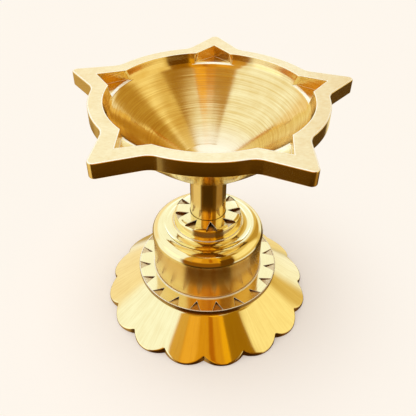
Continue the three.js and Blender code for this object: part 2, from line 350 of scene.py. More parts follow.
class Tree(Nodes):
    """A Geometry Nodes tree in the making, with named inputs and one geometry output."""

    def __init__(self, name: str) -> None:
        """Starts an empty tree with a geometry input.

        Args:
            name: the tree's name.
        """
        super().__init__(bpy.data.node_groups.new(name, "GeometryNodeTree"))
        self.tree.is_modifier = True
        for side in ("OUTPUT", "INPUT"):
            self.tree.interface.new_socket("Geometry", in_out=side, socket_type="NodeSocketGeometry")
        self.source = self.tree.nodes.new("NodeGroupInput")
        self.sink = self.tree.nodes.new("NodeGroupOutput")

    def input(self, name: str, kind: str) -> Socket:
        """Adds a named input, such as a "Float", and returns its socket in the tree."""
        self.tree.interface.new_socket(name, in_out="INPUT", socket_type="NodeSocket" + kind)
        return self.source.outputs[name]

    def floats(self, *names: str) -> list[Socket]:
        """Adds a named number input for each name."""
        return [self.input(name, "Float") for name in names]

    def round_copies(self, sector: Socket) -> Socket:
        """Repeats a geometry round the axis, by the inputs Count, First angle and Axis.

        Args:
            sector: the geometry to repeat.

        Returns:
            The copies, made real.
        """
        count = self.input("Count", "Int")
        first = self.input("First angle", "Float")
        axis = self.input("Axis", "Vector")
        points = self.node("GeometryNodePoints", {"Count": count, "Position": axis})
        index = self.node("GeometryNodeInputIndex").outputs[0]
        turn = self.math("DIVIDE", self.math("MULTIPLY", index, FULL_TURN), count)
        turned = self.node("ShaderNodeCombineXYZ", {"Z": self.math("ADD", turn, first)})
        copies = self.node("GeometryNodeInstanceOnPoints", {
            "Points": points.outputs[0], "Instance": sector, "Rotation": turned.outputs[0],
        })
        return self.node("GeometryNodeRealizeInstances", {0: copies.outputs[0]}).outputs[0]

    def finish_is(self, finish: Finish) -> Socket:
        """A selection of the faces that have a finish.

        Args:
            finish: the finish.

        Returns:
            The selection.
        """
        named = self.node("GeometryNodeInputNamedAttribute", {"Name": FINISH}, data_type="INT")
        same = self.node("FunctionNodeCompare", {2: named.outputs[0], 3: finish.value},
                         data_type="INT", operation="EQUAL")
        return same.outputs[0]

    def close(self, geometry: Socket,
              finishes: list[Finish]) -> NodeGroup:
        """Ends the tree: instances made real, and a material for each finish.

        Args:
            geometry: the geometry so far.
            finishes: the finishes that the piece has.

        Returns:
            The tree.
        """
        geometry = self.node("GeometryNodeRealizeInstances", {0: geometry}).outputs[0]
        for finish in finishes:
            material = self.input(finish.name, "Material")
            dressed = self.node("GeometryNodeSetMaterial", {
                "Geometry": geometry,
                "Selection": self.finish_is(finish),
                "Material": material,
            })
            geometry = dressed.outputs[0]
        self.tree.links.new(geometry, self.sink.inputs[0])
        return self.tree


def round_array(finishes: list[Finish]) -> NodeGroup:
    """A tree that repeats one sector round the axis and welds the seams.

    Args:
        finishes: the finishes that the piece has.

    Returns:
        The tree, with inputs Count, First angle, Axis and Weld.
    """
    tree = Tree("round_array")
    gap = tree.input("Weld", "Float")
    real = tree.round_copies(tree.source.outputs["Geometry"])
    welded = tree.node("GeometryNodeMergeByDistance", {"Geometry": real, "Distance": gap})
    return tree.close(welded.outputs[0], finishes)


def turning_lines(finishes: list[Finish]) -> NodeGroup:
    """A tree that cuts the fine uneven grooves of a lathe tool into the turned faces.

    Args:
        finishes: the finishes that the piece has.

    Returns:
        The tree, with inputs Axis, Spacing, Depth and Seed.
    """
    tree = Tree("turning_lines")
    axis = tree.input("Axis", "Vector")
    spacing, depth, seed = tree.floats("Spacing", "Depth", "Seed")
    position = tree.node("GeometryNodeInputPosition").outputs[0]
    from_axis = tree.vector("SUBTRACT", position, axis)
    parts = tree.node("ShaderNodeSeparateXYZ", {0: from_axis.outputs[0]})
    flat = tree.node("ShaderNodeCombineXYZ", {"X": parts.outputs["X"], "Y": parts.outputs["Y"]})
    radius = tree.vector("LENGTH", flat.outputs[0]).outputs["Value"]
    lines = tree.math("ADD", tree.math("DIVIDE", radius, spacing), seed)
    noise = tree.node("ShaderNodeTexNoise", {"W": lines, "Scale": 1.0, "Detail": 2.0},
                      noise_dimensions="1D")
    height = tree.math("MULTIPLY", tree.math("SUBTRACT", noise.outputs["Fac"], 0.5), depth)
    normal = tree.node("GeometryNodeInputNormal").outputs[0]
    offset = tree.node("ShaderNodeVectorMath", {0: normal, "Scale": height}, operation="SCALE")
    moved = tree.node("GeometryNodeSetPosition", {
        "Geometry": tree.source.outputs["Geometry"],
        "Selection": tree.finish_is(Finish.TURNED),
        "Offset": offset.outputs[0],
    })
    return tree.close(moved.outputs[0], finishes)


def graved_pits(finishes: list[Finish]) -> NodeGroup:
    """A tree that cuts a ring of three-sided pits into a flat top, each deepest at its inner end.

    Args:
        finishes: the finishes that the piece has, the pits' own among them.

    Returns:
        The tree, with inputs Count, First angle, Axis, Inner, Outer, Half width, Depth, Shallow,
        Chamfer and Surface.
    """
    tree = Tree("graved_pits")
    inner, outer, half, depth, shallow, chamfer, surface = tree.floats(
        "Inner", "Outer", "Half width", "Depth", "Shallow", "Chamfer", "Surface")
    graver = tree.node("GeometryNodeMeshCone", {
        "Vertices": 3, "Side Segments": 2, "Radius Top": 1.0, "Radius Bottom": 1.0, "Depth": 1.0,
    })
    turned = tree.node("GeometryNodeTransform", {
        "Geometry": graver.outputs["Mesh"], "Rotation": (0, 0, math.pi),
    })
    corner = tree.node("ShaderNodeSeparateXYZ", {0: tree.node("GeometryNodeInputPosition").outputs[0]})
    x, y, z = corner.outputs
    marked = turned.outputs[0]
    # Each pit's floor is graved brass, its walls a near-black painted shade, and its chamfered rim a pale
    # painted highlight.
    for lowest, finish in ((-1.0, Finish.GRAVED), (0.1, Finish.CUT), (0.6, Finish.WORN)):
        stored = tree.node("GeometryNodeStoreNamedAttribute", {
            "Geometry": marked, "Name": FINISH, "Value": finish.value,
            "Selection": tree.math("GREATER_THAN", z, lowest),
        }, data_type="INT", domain="FACE")
        marked = stored.outputs[0]
    is_top = tree.math("GREATER_THAN", z, 0.75)
    is_wall = tree.math("GREATER_THAN", z, 0.25)
    length = tree.math("SUBTRACT", outer, inner)
    along = tree.math("DIVIDE", tree.math("ADD", x, 1.0), 1.5)
    deep = tree.math("ADD", depth, tree.math("MULTIPLY", tree.math("SUBTRACT", shallow, depth), along))
    wider = tree.math("MULTIPLY", is_top, tree.math("MULTIPLY", chamfer, 2.0))
    from_axis = tree.math("ADD", inner, tree.math("MULTIPLY", along, length))
    outwards = tree.math("MULTIPLY", tree.math("MULTIPLY", wider, x), 1.5)
    half_there = tree.math("ADD", tree.math("DIVIDE", half, math.sin(math.pi / 3)), wider)
    step = tree.math("ADD", is_top, is_wall)
    level = tree.math("MULTIPLY", tree.math("SUBTRACT", tree.math("MULTIPLY", step, 2.0), 3.0), chamfer)
    height = tree.math("ADD", tree.math("MULTIPLY", is_wall, level),
                       tree.math("MULTIPLY", tree.math("SUBTRACT", is_wall, 1.0), deep))
    shaped = tree.node("ShaderNodeCombineXYZ", {
        "X": tree.math("ADD", from_axis, outwards),
        "Y": tree.math("MULTIPLY", y, half_there),
        "Z": tree.math("ADD", surface, height),
    })
    cut = tree.node("GeometryNodeSetPosition", {"Geometry": marked, "Position": shaped.outputs[0]})
    pits = tree.round_copies(cut.outputs[0])
    carved = tree.node("GeometryNodeMeshBoolean", {
        "Mesh 1": tree.source.outputs["Geometry"], "Mesh 2": pits,
    }, operation="DIFFERENCE", solver="EXACT")
    return tree.close(carved.outputs[0], finishes)


def plain(finishes: list[Finish]) -> NodeGroup:
    """A tree that stands a turned piece on the lamp's axis and dresses it.

    Args:
        finishes: the finishes that the piece has.

    Returns:
        The tree, with input Axis.
    """
    tree = Tree("on_axis")
    axis = tree.input("Axis", "Vector")
    moved = tree.node("GeometryNodeTransform", {
        "Geometry": tree.source.outputs["Geometry"], "Translation": axis,
    })
    return tree.close(moved.outputs[0], finishes)


def helix(finishes: list[Finish]) -> NodeGroup:
    """A tree that winds a screw thread's ridge and joins it to the piece it stands on.

    Args:
        finishes: the finishes that the piece has.

    Returns:
        The tree, with inputs Axis, Start, Turns, Pitch, Root, Width and Height.
    """
    tree = Tree("helix")
    axis = tree.input("Axis", "Vector")
    start, turns, pitch, root, width, height = tree.floats(
        "Start", "Turns", "Pitch", "Root", "Width", "Height")
    wound = tree.node("GeometryNodeCurveSpiral", {
        "Resolution": 40, "Rotations": turns, "Start Radius": root, "End Radius": root,
        "Height": tree.math("MULTIPLY", turns, pitch), "Reverse": False,
    })
    upright = tree.node("GeometryNodeSetCurveNormal", {"Curve": wound.outputs[0]}, mode="Z_UP")
    ridge = tree.node("GeometryNodeCurvePrimitiveCircle", {"Resolution": 3, "Radius": 1.0}, mode="RADIUS")
    size = tree.node("ShaderNodeCombineXYZ", {"X": height, "Y": width, "Z": 1.0})
    section = tree.node("GeometryNodeTransform", {"Geometry": ridge.outputs[0], "Scale": size.outputs[0]})
    swept = tree.node("GeometryNodeCurveToMesh", {
        "Curve": upright.outputs[0], "Profile Curve": section.outputs[0], "Fill Caps": True,
    })
    lift = tree.node("ShaderNodeCombineXYZ", {"Z": start})
    place = tree.vector("ADD", axis, lift.outputs[0])
    stood = tree.node("GeometryNodeTransform", {
        "Geometry": swept.outputs[0], "Translation": place.outputs[0],
    })
    marked = tree.node("GeometryNodeStoreNamedAttribute", {
        "Geometry": stood.outputs[0], "Name": FINISH, "Value": Finish.PLATED.value,
    }, data_type="INT", domain="FACE")
    both = tree.node("GeometryNodeJoinGeometry")
    tree.tree.links.new(tree.source.outputs["Geometry"], both.inputs[0])
    tree.tree.links.new(marked.outputs[0], both.inputs[0])
    return tree.close(both.outputs[0], finishes)


def evaluated(holder: bpy.types.Object, name: str) -> bpy.types.Mesh:
    """The plain mesh that an object's modifiers make. The object is removed.

    Args:
        holder: the object.
        name: the new mesh's name.

    Returns:
        The mesh.
    """
    bpy.context.scene.collection.objects.link(holder)
    result = bpy.data.meshes.new_from_object(
        holder.evaluated_get(bpy.context.evaluated_depsgraph_get()))
    bpy.data.objects.remove(holder)
    result.name = name
    return result


def grown(name: str, mesh: bpy.types.Mesh, tree: NodeGroup,
          values: dict[str, object]) -> bpy.types.Mesh:
    """Runs a tree on a mesh.

    Args:
        name: a name for the result.
        mesh: the mesh to start from, which is used up.
        tree: the tree.
        values: a value for each of the tree's named inputs.

    Returns:
        The result as a plain mesh.
    """
    holder = bpy.data.objects.new(name, mesh)
    modifier = holder.modifiers.new(tree.name, "NODES")
    modifier.node_group = tree
    for item in tree.interface.items_tree:
        if item.in_out == "INPUT" and item.name in values:
            value = values[item.name]
            modifier[item.identifier] = tuple(value) if isinstance(value, Vector) else value
    result = evaluated(holder, name)
    bpy.data.meshes.remove(mesh)
    return result


def finished(name: str, mesh: bpy.types.Mesh, node: str, body: str,
             crease: float = 40.0) -> bpy.types.Object:
    """Makes a mesh into a finished piece that stands for its CAD node.

    Args:
        name: the piece's name.
        mesh: its mesh, in place.
        node: the CAD node that it replaces.
        body: the CAD body that it rides on.
        crease: edges turned by more than this many degrees are shaded sharp.

    Returns:
        The piece.
    """
    weld(mesh)
    work = bmesh.new()
    work.from_mesh(mesh)
    bmesh.ops.recalc_face_normals(work, faces=work.faces)
    open_edges = sum(1 for edge in work.edges if not edge.is_manifold)
    for face in work.faces:
        face.smooth = True
    work.to_mesh(mesh)
    work.free()
    mesh.set_sharp_from_angle(angle=math.radians(crease))
    holder = bpy.data.objects.new(name + "_raw", mesh)
    weighted = holder.modifiers.new("weighted", "WEIGHTED_NORMAL")
    weighted.keep_sharp = True
    result = evaluated(holder, name)
    piece = bpy.data.objects.new(name, result)
    bpy.context.scene.collection.objects.link(piece)
    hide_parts(node)
    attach(piece, body)
    triangles = sum(len(polygon.vertices) - 2 for polygon in result.polygons)
    LOG.info("%s: %d triangles, %d open edges", name, triangles, open_edges)
    return piece


# Finishes


class Shader(Nodes):
    """A material's node tree in the making."""

    def __init__(self, material: bpy.types.Material) -> None:
        """Starts from the material's own nodes, with its shader kept.

        Args:
            material: the material.
        """
        material.use_nodes = True
        super().__init__(material.node_tree)
        self.shader = self.tree.nodes["Principled BSDF"]

    def noise(self, vector: object, scale: float, detail: float = 3.0,
              rough: float = 0.5) -> Socket:
        """Adds a noise texture, and returns its value."""
        made = self.node("ShaderNodeTexNoise", {
            "Vector": vector, "Scale": scale, "Detail": detail, "Roughness": rough,
        })
        return made.outputs["Fac"]

    def map_range(self, value: object, low: float, high: float, to_low: float,
                  to_high: float) -> Socket:
        """Maps one range of a value to another, held at its ends."""
        made = self.node("ShaderNodeMapRange", {
            "Value": value, "From Min": low, "From Max": high, "To Min": to_low, "To Max": to_high,
        })
        return made.outputs[0]


@dataclass(frozen=True)
class MetalFinish:
    """One finish of one metal.

    Attributes:
        name: the material's name.
        colour: the metal's colour, linear.
        shade: the colour in its darker patches and grooves, linear.
        roughness: how blurred its reflections are.
        anisotropy: how much the grain spreads them across its lines.
        grain: which way the grain runs.
        fineness: how many grain lines there are in a millimetre.
        depth: the depth of the grain, in millimetres.
        slope: how the grain follows height, against radius.
        mottle: how strongly the colour varies over the surface.
        ripple: the depth of the slow waves left by polishing, in millimetres.
        metallic: how much of it reflects as clean metal.
        sheen_low: the height, in millimetres, up to which it is painted pale cream, a painted highlight.
        sheen_high: the height from which it keeps its own colour.
    """

    name: str
    colour: Colour
    shade: Colour
    roughness: float
    anisotropy: float = 0.0
    grain: Grain = Grain.ROUND
    fineness: float = 3.0
    depth: float = 0.004
    slope: float = 1.0
    mottle: float = 0.4
    ripple: float = 0.0
    metallic: float = 1.0
    sheen_low: float = 0.0
    sheen_high: float = 0.0

    def material(self) -> bpy.types.Material:
        """Builds the material: grain, patches and slow waves on the metal's shader.

        Returns:
            The material.
        """
        made = bpy.data.materials.new(self.name)
        maker = Shader(made)
        place = maker.node("ShaderNodeTexCoord").outputs["Object"]
        local = maker.vector("SUBTRACT", place, tuple(AXIS)).outputs[0]
        parts = maker.node("ShaderNodeSeparateXYZ", {0: local})
        flat = maker.node("ShaderNodeCombineXYZ", {"X": parts.outputs[0], "Y": parts.outputs[1]})
        radius = maker.vector("LENGTH", flat.outputs[0]).outputs["Value"]
        outward = maker.vector("NORMALIZE", flat.outputs[0]).outputs[0]
        along = maker.math("MULTIPLY_ADD", parts.outputs[2], self.slope, radius)
        lines = self.lines(maker, local, outward, along)
        patches = maker.noise(local, 120.0, 3.0, 0.6)
        shader = maker.shader
        shader.inputs["Metallic"].default_value = self.metallic
        shader.inputs["Anisotropic"].default_value = self.anisotropy
        tone = maker.math("ADD", maker.math("MULTIPLY", maker.map_range(lines, 0.4, 0.6, 0, 1), 0.6),
                          maker.math("MULTIPLY", maker.map_range(patches, 0.35, 0.65, 0, 1), 0.4))
        tone = maker.math("MULTIPLY", tone, self.mottle)
        colour = maker.mix(tone, (*self.colour, 1), (*self.shade, 1))
        # Below a height the colour fades to a pale cream and the roughness rises a little: a painted
        # highlight.
        sheen: object = 0.0
        if self.sheen_high > 0:
            sheen = maker.map_range(parts.outputs[2], self.sheen_low * MM, self.sheen_high * MM,
                                     1, 0)
            colour = maker.mix(sheen, colour, (*PALE_SHEEN, 1))
        maker.tree.links.new(colour, shader.inputs["Base Color"])
        rough = maker.map_range(lines, 0.3, 0.7, self.roughness * 0.85, self.roughness * 1.2)
        rough = maker.math("MULTIPLY_ADD", sheen, PALE_SHEEN_ROUGHNESS, rough)
        maker.tree.links.new(rough, shader.inputs["Roughness"])
        bump = maker.node("ShaderNodeBump", {
            "Height": lines, "Strength": 1.0, "Distance": self.depth * MM,
        })
        if self.ripple > 0:
            waves = maker.noise(local, 90.0, 1.0)
            bump = maker.node("ShaderNodeBump", {
                "Height": waves, "Strength": 1.0, "Distance": self.ripple * MM,
                "Normal": bump.outputs[0],
            })
        maker.tree.links.new(bump.outputs[0], shader.inputs["Normal"])
        if self.anisotropy > 0:
            around = maker.vector("CROSS_PRODUCT", (0, 0, 1), outward).outputs[0]
            normal = maker.node("ShaderNodeNewGeometry").outputs["Normal"]
            across = maker.vector("CROSS_PRODUCT", normal, around).outputs[0]
            maker.tree.links.new(across, shader.inputs["Tangent"])
        return made

    def lines(self, maker: Shader, local: Socket, outward: Socket,
              along: Socket) -> Socket:
        """The grain's height.

        Args:
            maker: the material in the making.
            local: the position from the axis.
            outward: the direction from the axis.
            along: the distance along the outline.

        Returns:
            A value about one half.
        """
        per_metre = self.fineness / MM
        if self.grain is Grain.ALL_WAYS:
            coarse = maker.noise(local, per_metre * 0.5, 4.0, 0.7)
            stretched = maker.vector("MULTIPLY", local, (0.25, 1.0, 1.0)).outputs[0]
            strokes = maker.noise(stretched, per_metre * 1.6, 2.0, 0.6)
            return maker.math("MULTIPLY_ADD", strokes, 0.5, maker.math("MULTIPLY", coarse, 0.5))
        if self.grain is Grain.ROUND:
            turned = maker.vector("SCALE", outward)
            turned.inputs["Scale"].default_value = 0.8
            away = maker.node("ShaderNodeCombineXYZ", {"Z": maker.math("MULTIPLY", along, per_metre)})
        else:
            turned = maker.vector("SCALE", outward)
            turned.inputs["Scale"].default_value = self.fineness * 40
            away = maker.node("ShaderNodeCombineXYZ", {"Z": maker.math("MULTIPLY", along, 60.0)})
        where = maker.vector("ADD", turned.outputs[0], away.outputs[0]).outputs[0]
        return maker.noise(where, 1.0, 3.0, 0.65)


BRASS = (0.95, 0.85, 0.465)
BRASS_SHADE = (0.72, 0.50, 0.16)
# A pale cream that a finish fades to below a height, with some added roughness: a painted highlight.
PALE_SHEEN = (0.99, 0.88, 0.62)
PALE_SHEEN_ROUGHNESS = 0.07

FINISHES: dict[Finish, MetalFinish] = {
    Finish.LAPPED: MetalFinish("lapped_brass", (0.955, 0.82, 0.49), (0.87, 0.68, 0.34), 0.34,
                               grain=Grain.ALL_WAYS, fineness=1.6, depth=0.022, mottle=0.9),
    # The cup's turned brass is painted pale up to 63 mm, fading out by 69.5 mm: a painted highlight.
    Finish.TURNED: MetalFinish("turned_brass", (0.94, 0.79, 0.40), (0.72, 0.47, 0.12), 0.13,
                               anisotropy=0.6, fineness=1.6, depth=0.010, slope=0.4, mottle=0.8,
                               sheen_low=63.0, sheen_high=69.5),
    Finish.EDGE: MetalFinish("edge_brass", (0.92, 0.76, 0.38), (0.72, 0.48, 0.16), 0.13,
                             fineness=3.0, depth=0.004, slope=2.0, mottle=0.5, ripple=0.01),
    Finish.CAST: MetalFinish("cast_brass", (0.70, 0.44, 0.13), (0.42, 0.22, 0.05), 0.18,
                             grain=Grain.ALL_WAYS, fineness=1.0, depth=0.008, mottle=0.8),
    Finish.POLISHED: MetalFinish("polished_brass", BRASS, BRASS_SHADE, 0.09,
                                 anisotropy=0.5, fineness=5.0, depth=0.0012, slope=-1.0, mottle=0.3,
                                 ripple=0.010),
    Finish.BUFFED: MetalFinish("buffed_brass", BRASS, BRASS_SHADE, 0.07,
                               grain=Grain.OUTWARD, fineness=1.0, depth=0.003, slope=-1.0,
                               mottle=0.3, ripple=0.010),
    Finish.GRAVED: MetalFinish("graved_brass", (0.84, 0.68, 0.40), (0.52, 0.34, 0.13), 0.30,
                               grain=Grain.ALL_WAYS, fineness=2.0, depth=0.010, mottle=0.9),
    Finish.SATIN: MetalFinish("satin_brass", (0.94, 0.80, 0.44), BRASS_SHADE, 0.14,
                              anisotropy=0.8, fineness=6.0, depth=0.002, slope=1.0, mottle=0.4),
    Finish.DRAWN: MetalFinish("drawn_brass", (0.88, 0.66, 0.27), (0.68, 0.44, 0.11), 0.22,
                              anisotropy=0.9, fineness=5.0, depth=0.002, slope=1.0, mottle=0.5),
    Finish.PLATED: MetalFinish("plated_steel", (0.62, 0.63, 0.64), (0.48, 0.49, 0.50), 0.30,
                               grain=Grain.ALL_WAYS, fineness=2.0, depth=0.004, mottle=0.5),
    # The pits' walls: near-black, a painted shade.
    Finish.CUT: MetalFinish("tarnished_brass", (0.19, 0.09, 0.025), (0.06, 0.025, 0.006), 0.36,
                            grain=Grain.ALL_WAYS, fineness=2.0, depth=0.008, mottle=0.8),
    Finish.MILLED: MetalFinish("milled_brass", (0.96, 0.82, 0.44), (0.80, 0.56, 0.18), 0.20,
                               anisotropy=0.5, fineness=0.3, depth=0.14, slope=3.0, mottle=1.0),
    # Pale cream, part diffuse so that the lamp lights it white: a painted highlight along edges.
    Finish.WORN: MetalFinish("worn_brass", (0.98, 0.93, 0.76), (0.93, 0.80, 0.50), 0.30,
                             grain=Grain.ALL_WAYS, fineness=1.5, depth=0.004, mottle=0.4,
                             metallic=0.45),
    # Dark brown: painted shade at the collar's seam and on the ring's and lobes' outer sides.
    Finish.AGED: MetalFinish("aged_brass", (0.44, 0.27, 0.07), (0.22, 0.11, 0.025), 0.24,
                             fineness=3.0, depth=0.004, mottle=0.7),
}


class Wardrobe:
    """Makes each finish's material once, and hands it out."""

    def __init__(self) -> None:
        """Starts with nothing made."""
        self.made: dict[Finish, bpy.types.Material] = {}

    def material(self, finish: Finish) -> bpy.types.Material:
        """The material of a finish."""
        if finish not in self.made:
            self.made[finish] = FINISHES[finish].material()
        return self.made[finish]

    def inputs(self, finishes: list[Finish]) -> dict[str, bpy.types.Material]:
        """The materials of some finishes, by the names of a tree's inputs."""
        return {finish.name: self.material(finish) for finish in finishes}


# The pieces


def on_axis(name: str, mesh: bpy.types.Mesh, finishes: list[Finish],
            wardrobe: Wardrobe) -> bpy.types.Mesh:
    """Stands a mesh on the lamp's axis and dresses it."""
    return grown(name, mesh, plain(finishes), {"Axis": AXIS, **wardrobe.inputs(finishes)})


@dataclass(frozen=True)
class Pits:
    """A ring of graved three-sided pits in a flat top.

    Attributes:
        count: how many there are.
        first: angle of one of them.
        inner: from the axis to a pit's sharp end.
        outer: from the axis to its wide end.
        half_width: half of its width there.
        depth: its depth at its sharp end.
        end_depth: its depth at its wide end.
        chamfer: width of the chamfered burr round it, coloured as a painted highlight.
    """

    count: int
    first: float
    inner: float
    outer: float
    half_width: float
    depth: float
    end_depth: float
    chamfer: float

    def cut(self, mesh: bpy.types.Mesh, surface: float, finishes: list[Finish],
            wardrobe: Wardrobe) -> bpy.types.Mesh:
        """Cuts the pits into a mesh whose flat top is at the height of surface."""
        return grown(mesh.name, mesh, graved_pits(finishes), {
            "Count": self.count, "First angle": self.first, "Axis": AXIS,
            "Inner": self.inner * MM, "Outer": self.outer * MM,
            "Half width": self.half_width * MM, "Depth": self.depth * MM,
            "Shallow": self.end_depth * MM, "Chamfer": self.chamfer * MM,
            "Surface": surface * MM, **wardrobe.inputs(finishes),
        })


@dataclass
class StarOutline:
    """The star plate's outline and the edge of its cup and pockets, for one of five sectors.

    A sector is symmetric about its point, which looks along +X here.

    Attributes:
        plate_radius: the plate's circle.
        reach: from the axis to the end of a point.
        half_angle: between a point's side and its middle line.
        tip: rounding of a point's end.
        root: rounding between a point's side and the circle.
        rim_radius: the cup's edge.
        ledge_radius: the cup at the level of the pocket floors.
        pocket_reach: from the axis to a pocket's sharp end.
        pocket_angle: between a pocket's side and its middle line.
        mouth_bevel: width of the bevel at each side of a pocket's mouth.
        sector: half of a sector's angle.
    """

    plate_radius: float = 38.2
    reach: float = 50.0
    half_angle: float = math.radians(33)
    tip: float = 1.8
    root: float = 6.5
    rim_radius: float = 33.4
    ledge_radius: float = 32.2
    pocket_reach: float = 40.7
    pocket_angle: float = math.radians(38)
    mouth_bevel: float = 0.9
    sector: float = math.pi / POINTS

    def half_outline(self) -> list[tuple[Vector, Vector]]:
        """Half of a sector's outline, from the middle of the point to the next sector.

        Returns:
            Points, each with its outward direction.
        """
        sine, cosine = math.sin(self.half_angle), math.cos(self.half_angle)
        centre = Vector((self.reach - self.tip, 0))
        side = math.pi / 2 - self.half_angle
        apex = centre.x + self.tip / sine
        start = Vector((apex + self.root * sine, self.root * cosine))
        half = start.x * cosine - start.y * sine
        reach = self.plate_radius + self.root
        travel = half - math.sqrt(half * half - start.length_squared + reach * reach)
        root = start + Vector((-cosine, sine)) * travel
        root_angle = math.atan2(root.y, root.x)
        found = []
        for k in range(7):
            out = toward(side * k / 6)
            found.append((centre + out * self.tip, out))
        out = Vector((sine, cosine))
        side_end = root - out * self.root
        for k in range(1, 5):
            found.append((found[6][0].lerp(side_end, k / 5), out))
        for k in range(8):
            angle = math.pi + side + (root_angle - side) * k / 7
            towards = toward(angle)
            found.append((root + towards * self.root, -towards))
        for k in range(1, 13):
            angle = root_angle + (self.sector - root_angle) * k / 12
            out = toward(angle)
            found.append((out * self.plate_radius, out))
        return found

    def mouth(self, radius: float, inset: float) -> float:
        """The angle at which a pocket's side, moved out by inset, crosses a circle.

        Args:
            radius: the circle.
            inset: how far out the side is moved.

        Returns:
            The angle.
        """
        apex = self.pocket_reach + inset / math.sin(self.pocket_angle)
        across = apex * math.sin(self.pocket_angle)
        travel = apex * math.cos(self.pocket_angle) - math.sqrt(radius**2 - across**2)
        return math.atan2(travel * math.sin(self.pocket_angle),
                          apex - travel * math.cos(self.pocket_angle))

    def columns(self) -> list[tuple[Vector, Vector, float, bool]]:
        """The columns of a whole sector: outline point, outward direction, angle, in a pocket.

        Returns:
            The columns, by angle. Between the last one in a pocket and the first one beside it
            runs the bevel of the pocket's mouth.
        """
        mouth = self.mouth(self.rim_radius, 0)
        beside = mouth + self.mouth_bevel / self.rim_radius
        outline = [(point, out, math.atan2(point.y, point.x)) for point, out in self.half_outline()]
        half = [(point, out, angle, angle < mouth) for point, out, angle in outline
                if not mouth - 1e-3 < angle < beside + 1e-3]
        for angle, inside in ((mouth, True), (beside, False)):
            after = next(i for i, knot in enumerate(outline) if knot[2] > angle)
            point, out, last = outline[after - 1]
            share = (angle - last) / (outline[after][2] - last)
            half.append((point.lerp(outline[after][0], share),
                         out.lerp(outline[after][1], share).normalized(), angle, inside))
        half.sort(key=lambda column: column[2])
        other = [(Vector((p.x, -p.y)), Vector((o.x, -o.y)), -a, inside)
                 for p, o, a, inside in reversed(half[1:])]
        return other + half

    def moved_angle(self, angle: float, mouth: float, new_mouth: float) -> float:
        """Moves a column's angle as its pocket's mouth moves from one angle to another.

        Args:
            angle: the column's angle.
            mouth: the mouth's angle before.
            new_mouth: its angle after.

        Returns:
            The column's new angle.
        """
        size = abs(angle)
        if size <= mouth + 1e-9:
            moved = size * new_mouth / mouth
        else:
            moved = self.sector - (self.sector - size) * (self.sector - new_mouth) / (
                self.sector - mouth)
        return math.copysign(moved, angle)

    def inner(self, angle: float, inside: bool, inset: float) -> Vector:
        """A point of the edge of the cup and its pockets, moved into the plate by inset.

        Args:
            angle: the column's angle.
            inside: whether the column is in a pocket.
            inset: how far into the plate.

        Returns:
            The point, seen from above.
        """
        circle = self.rim_radius + inset
        mouth = self.mouth(self.rim_radius, 0)
        angle = self.moved_angle(angle, mouth, self.mouth(circle, inset))
        if inside:
            apex = self.pocket_reach + inset / math.sin(self.pocket_angle)
            circle = apex * math.sin(self.pocket_angle) / math.sin(self.pocket_angle + abs(angle))
        return Vector((circle * math.cos(angle), circle * math.sin(angle)))

    def on_circle(self, angle: float, radius: float, mouth_at: float | None = None) -> Vector:
        """A column's point on a circle, where the pockets are as wide as at mouth_at."""
        moved = self.moved_angle(angle, self.mouth(self.rim_radius, 0),
                                 self.mouth(mouth_at or self.ledge_radius, 0))
        return Vector((radius * math.cos(moved), radius * math.sin(moved)))


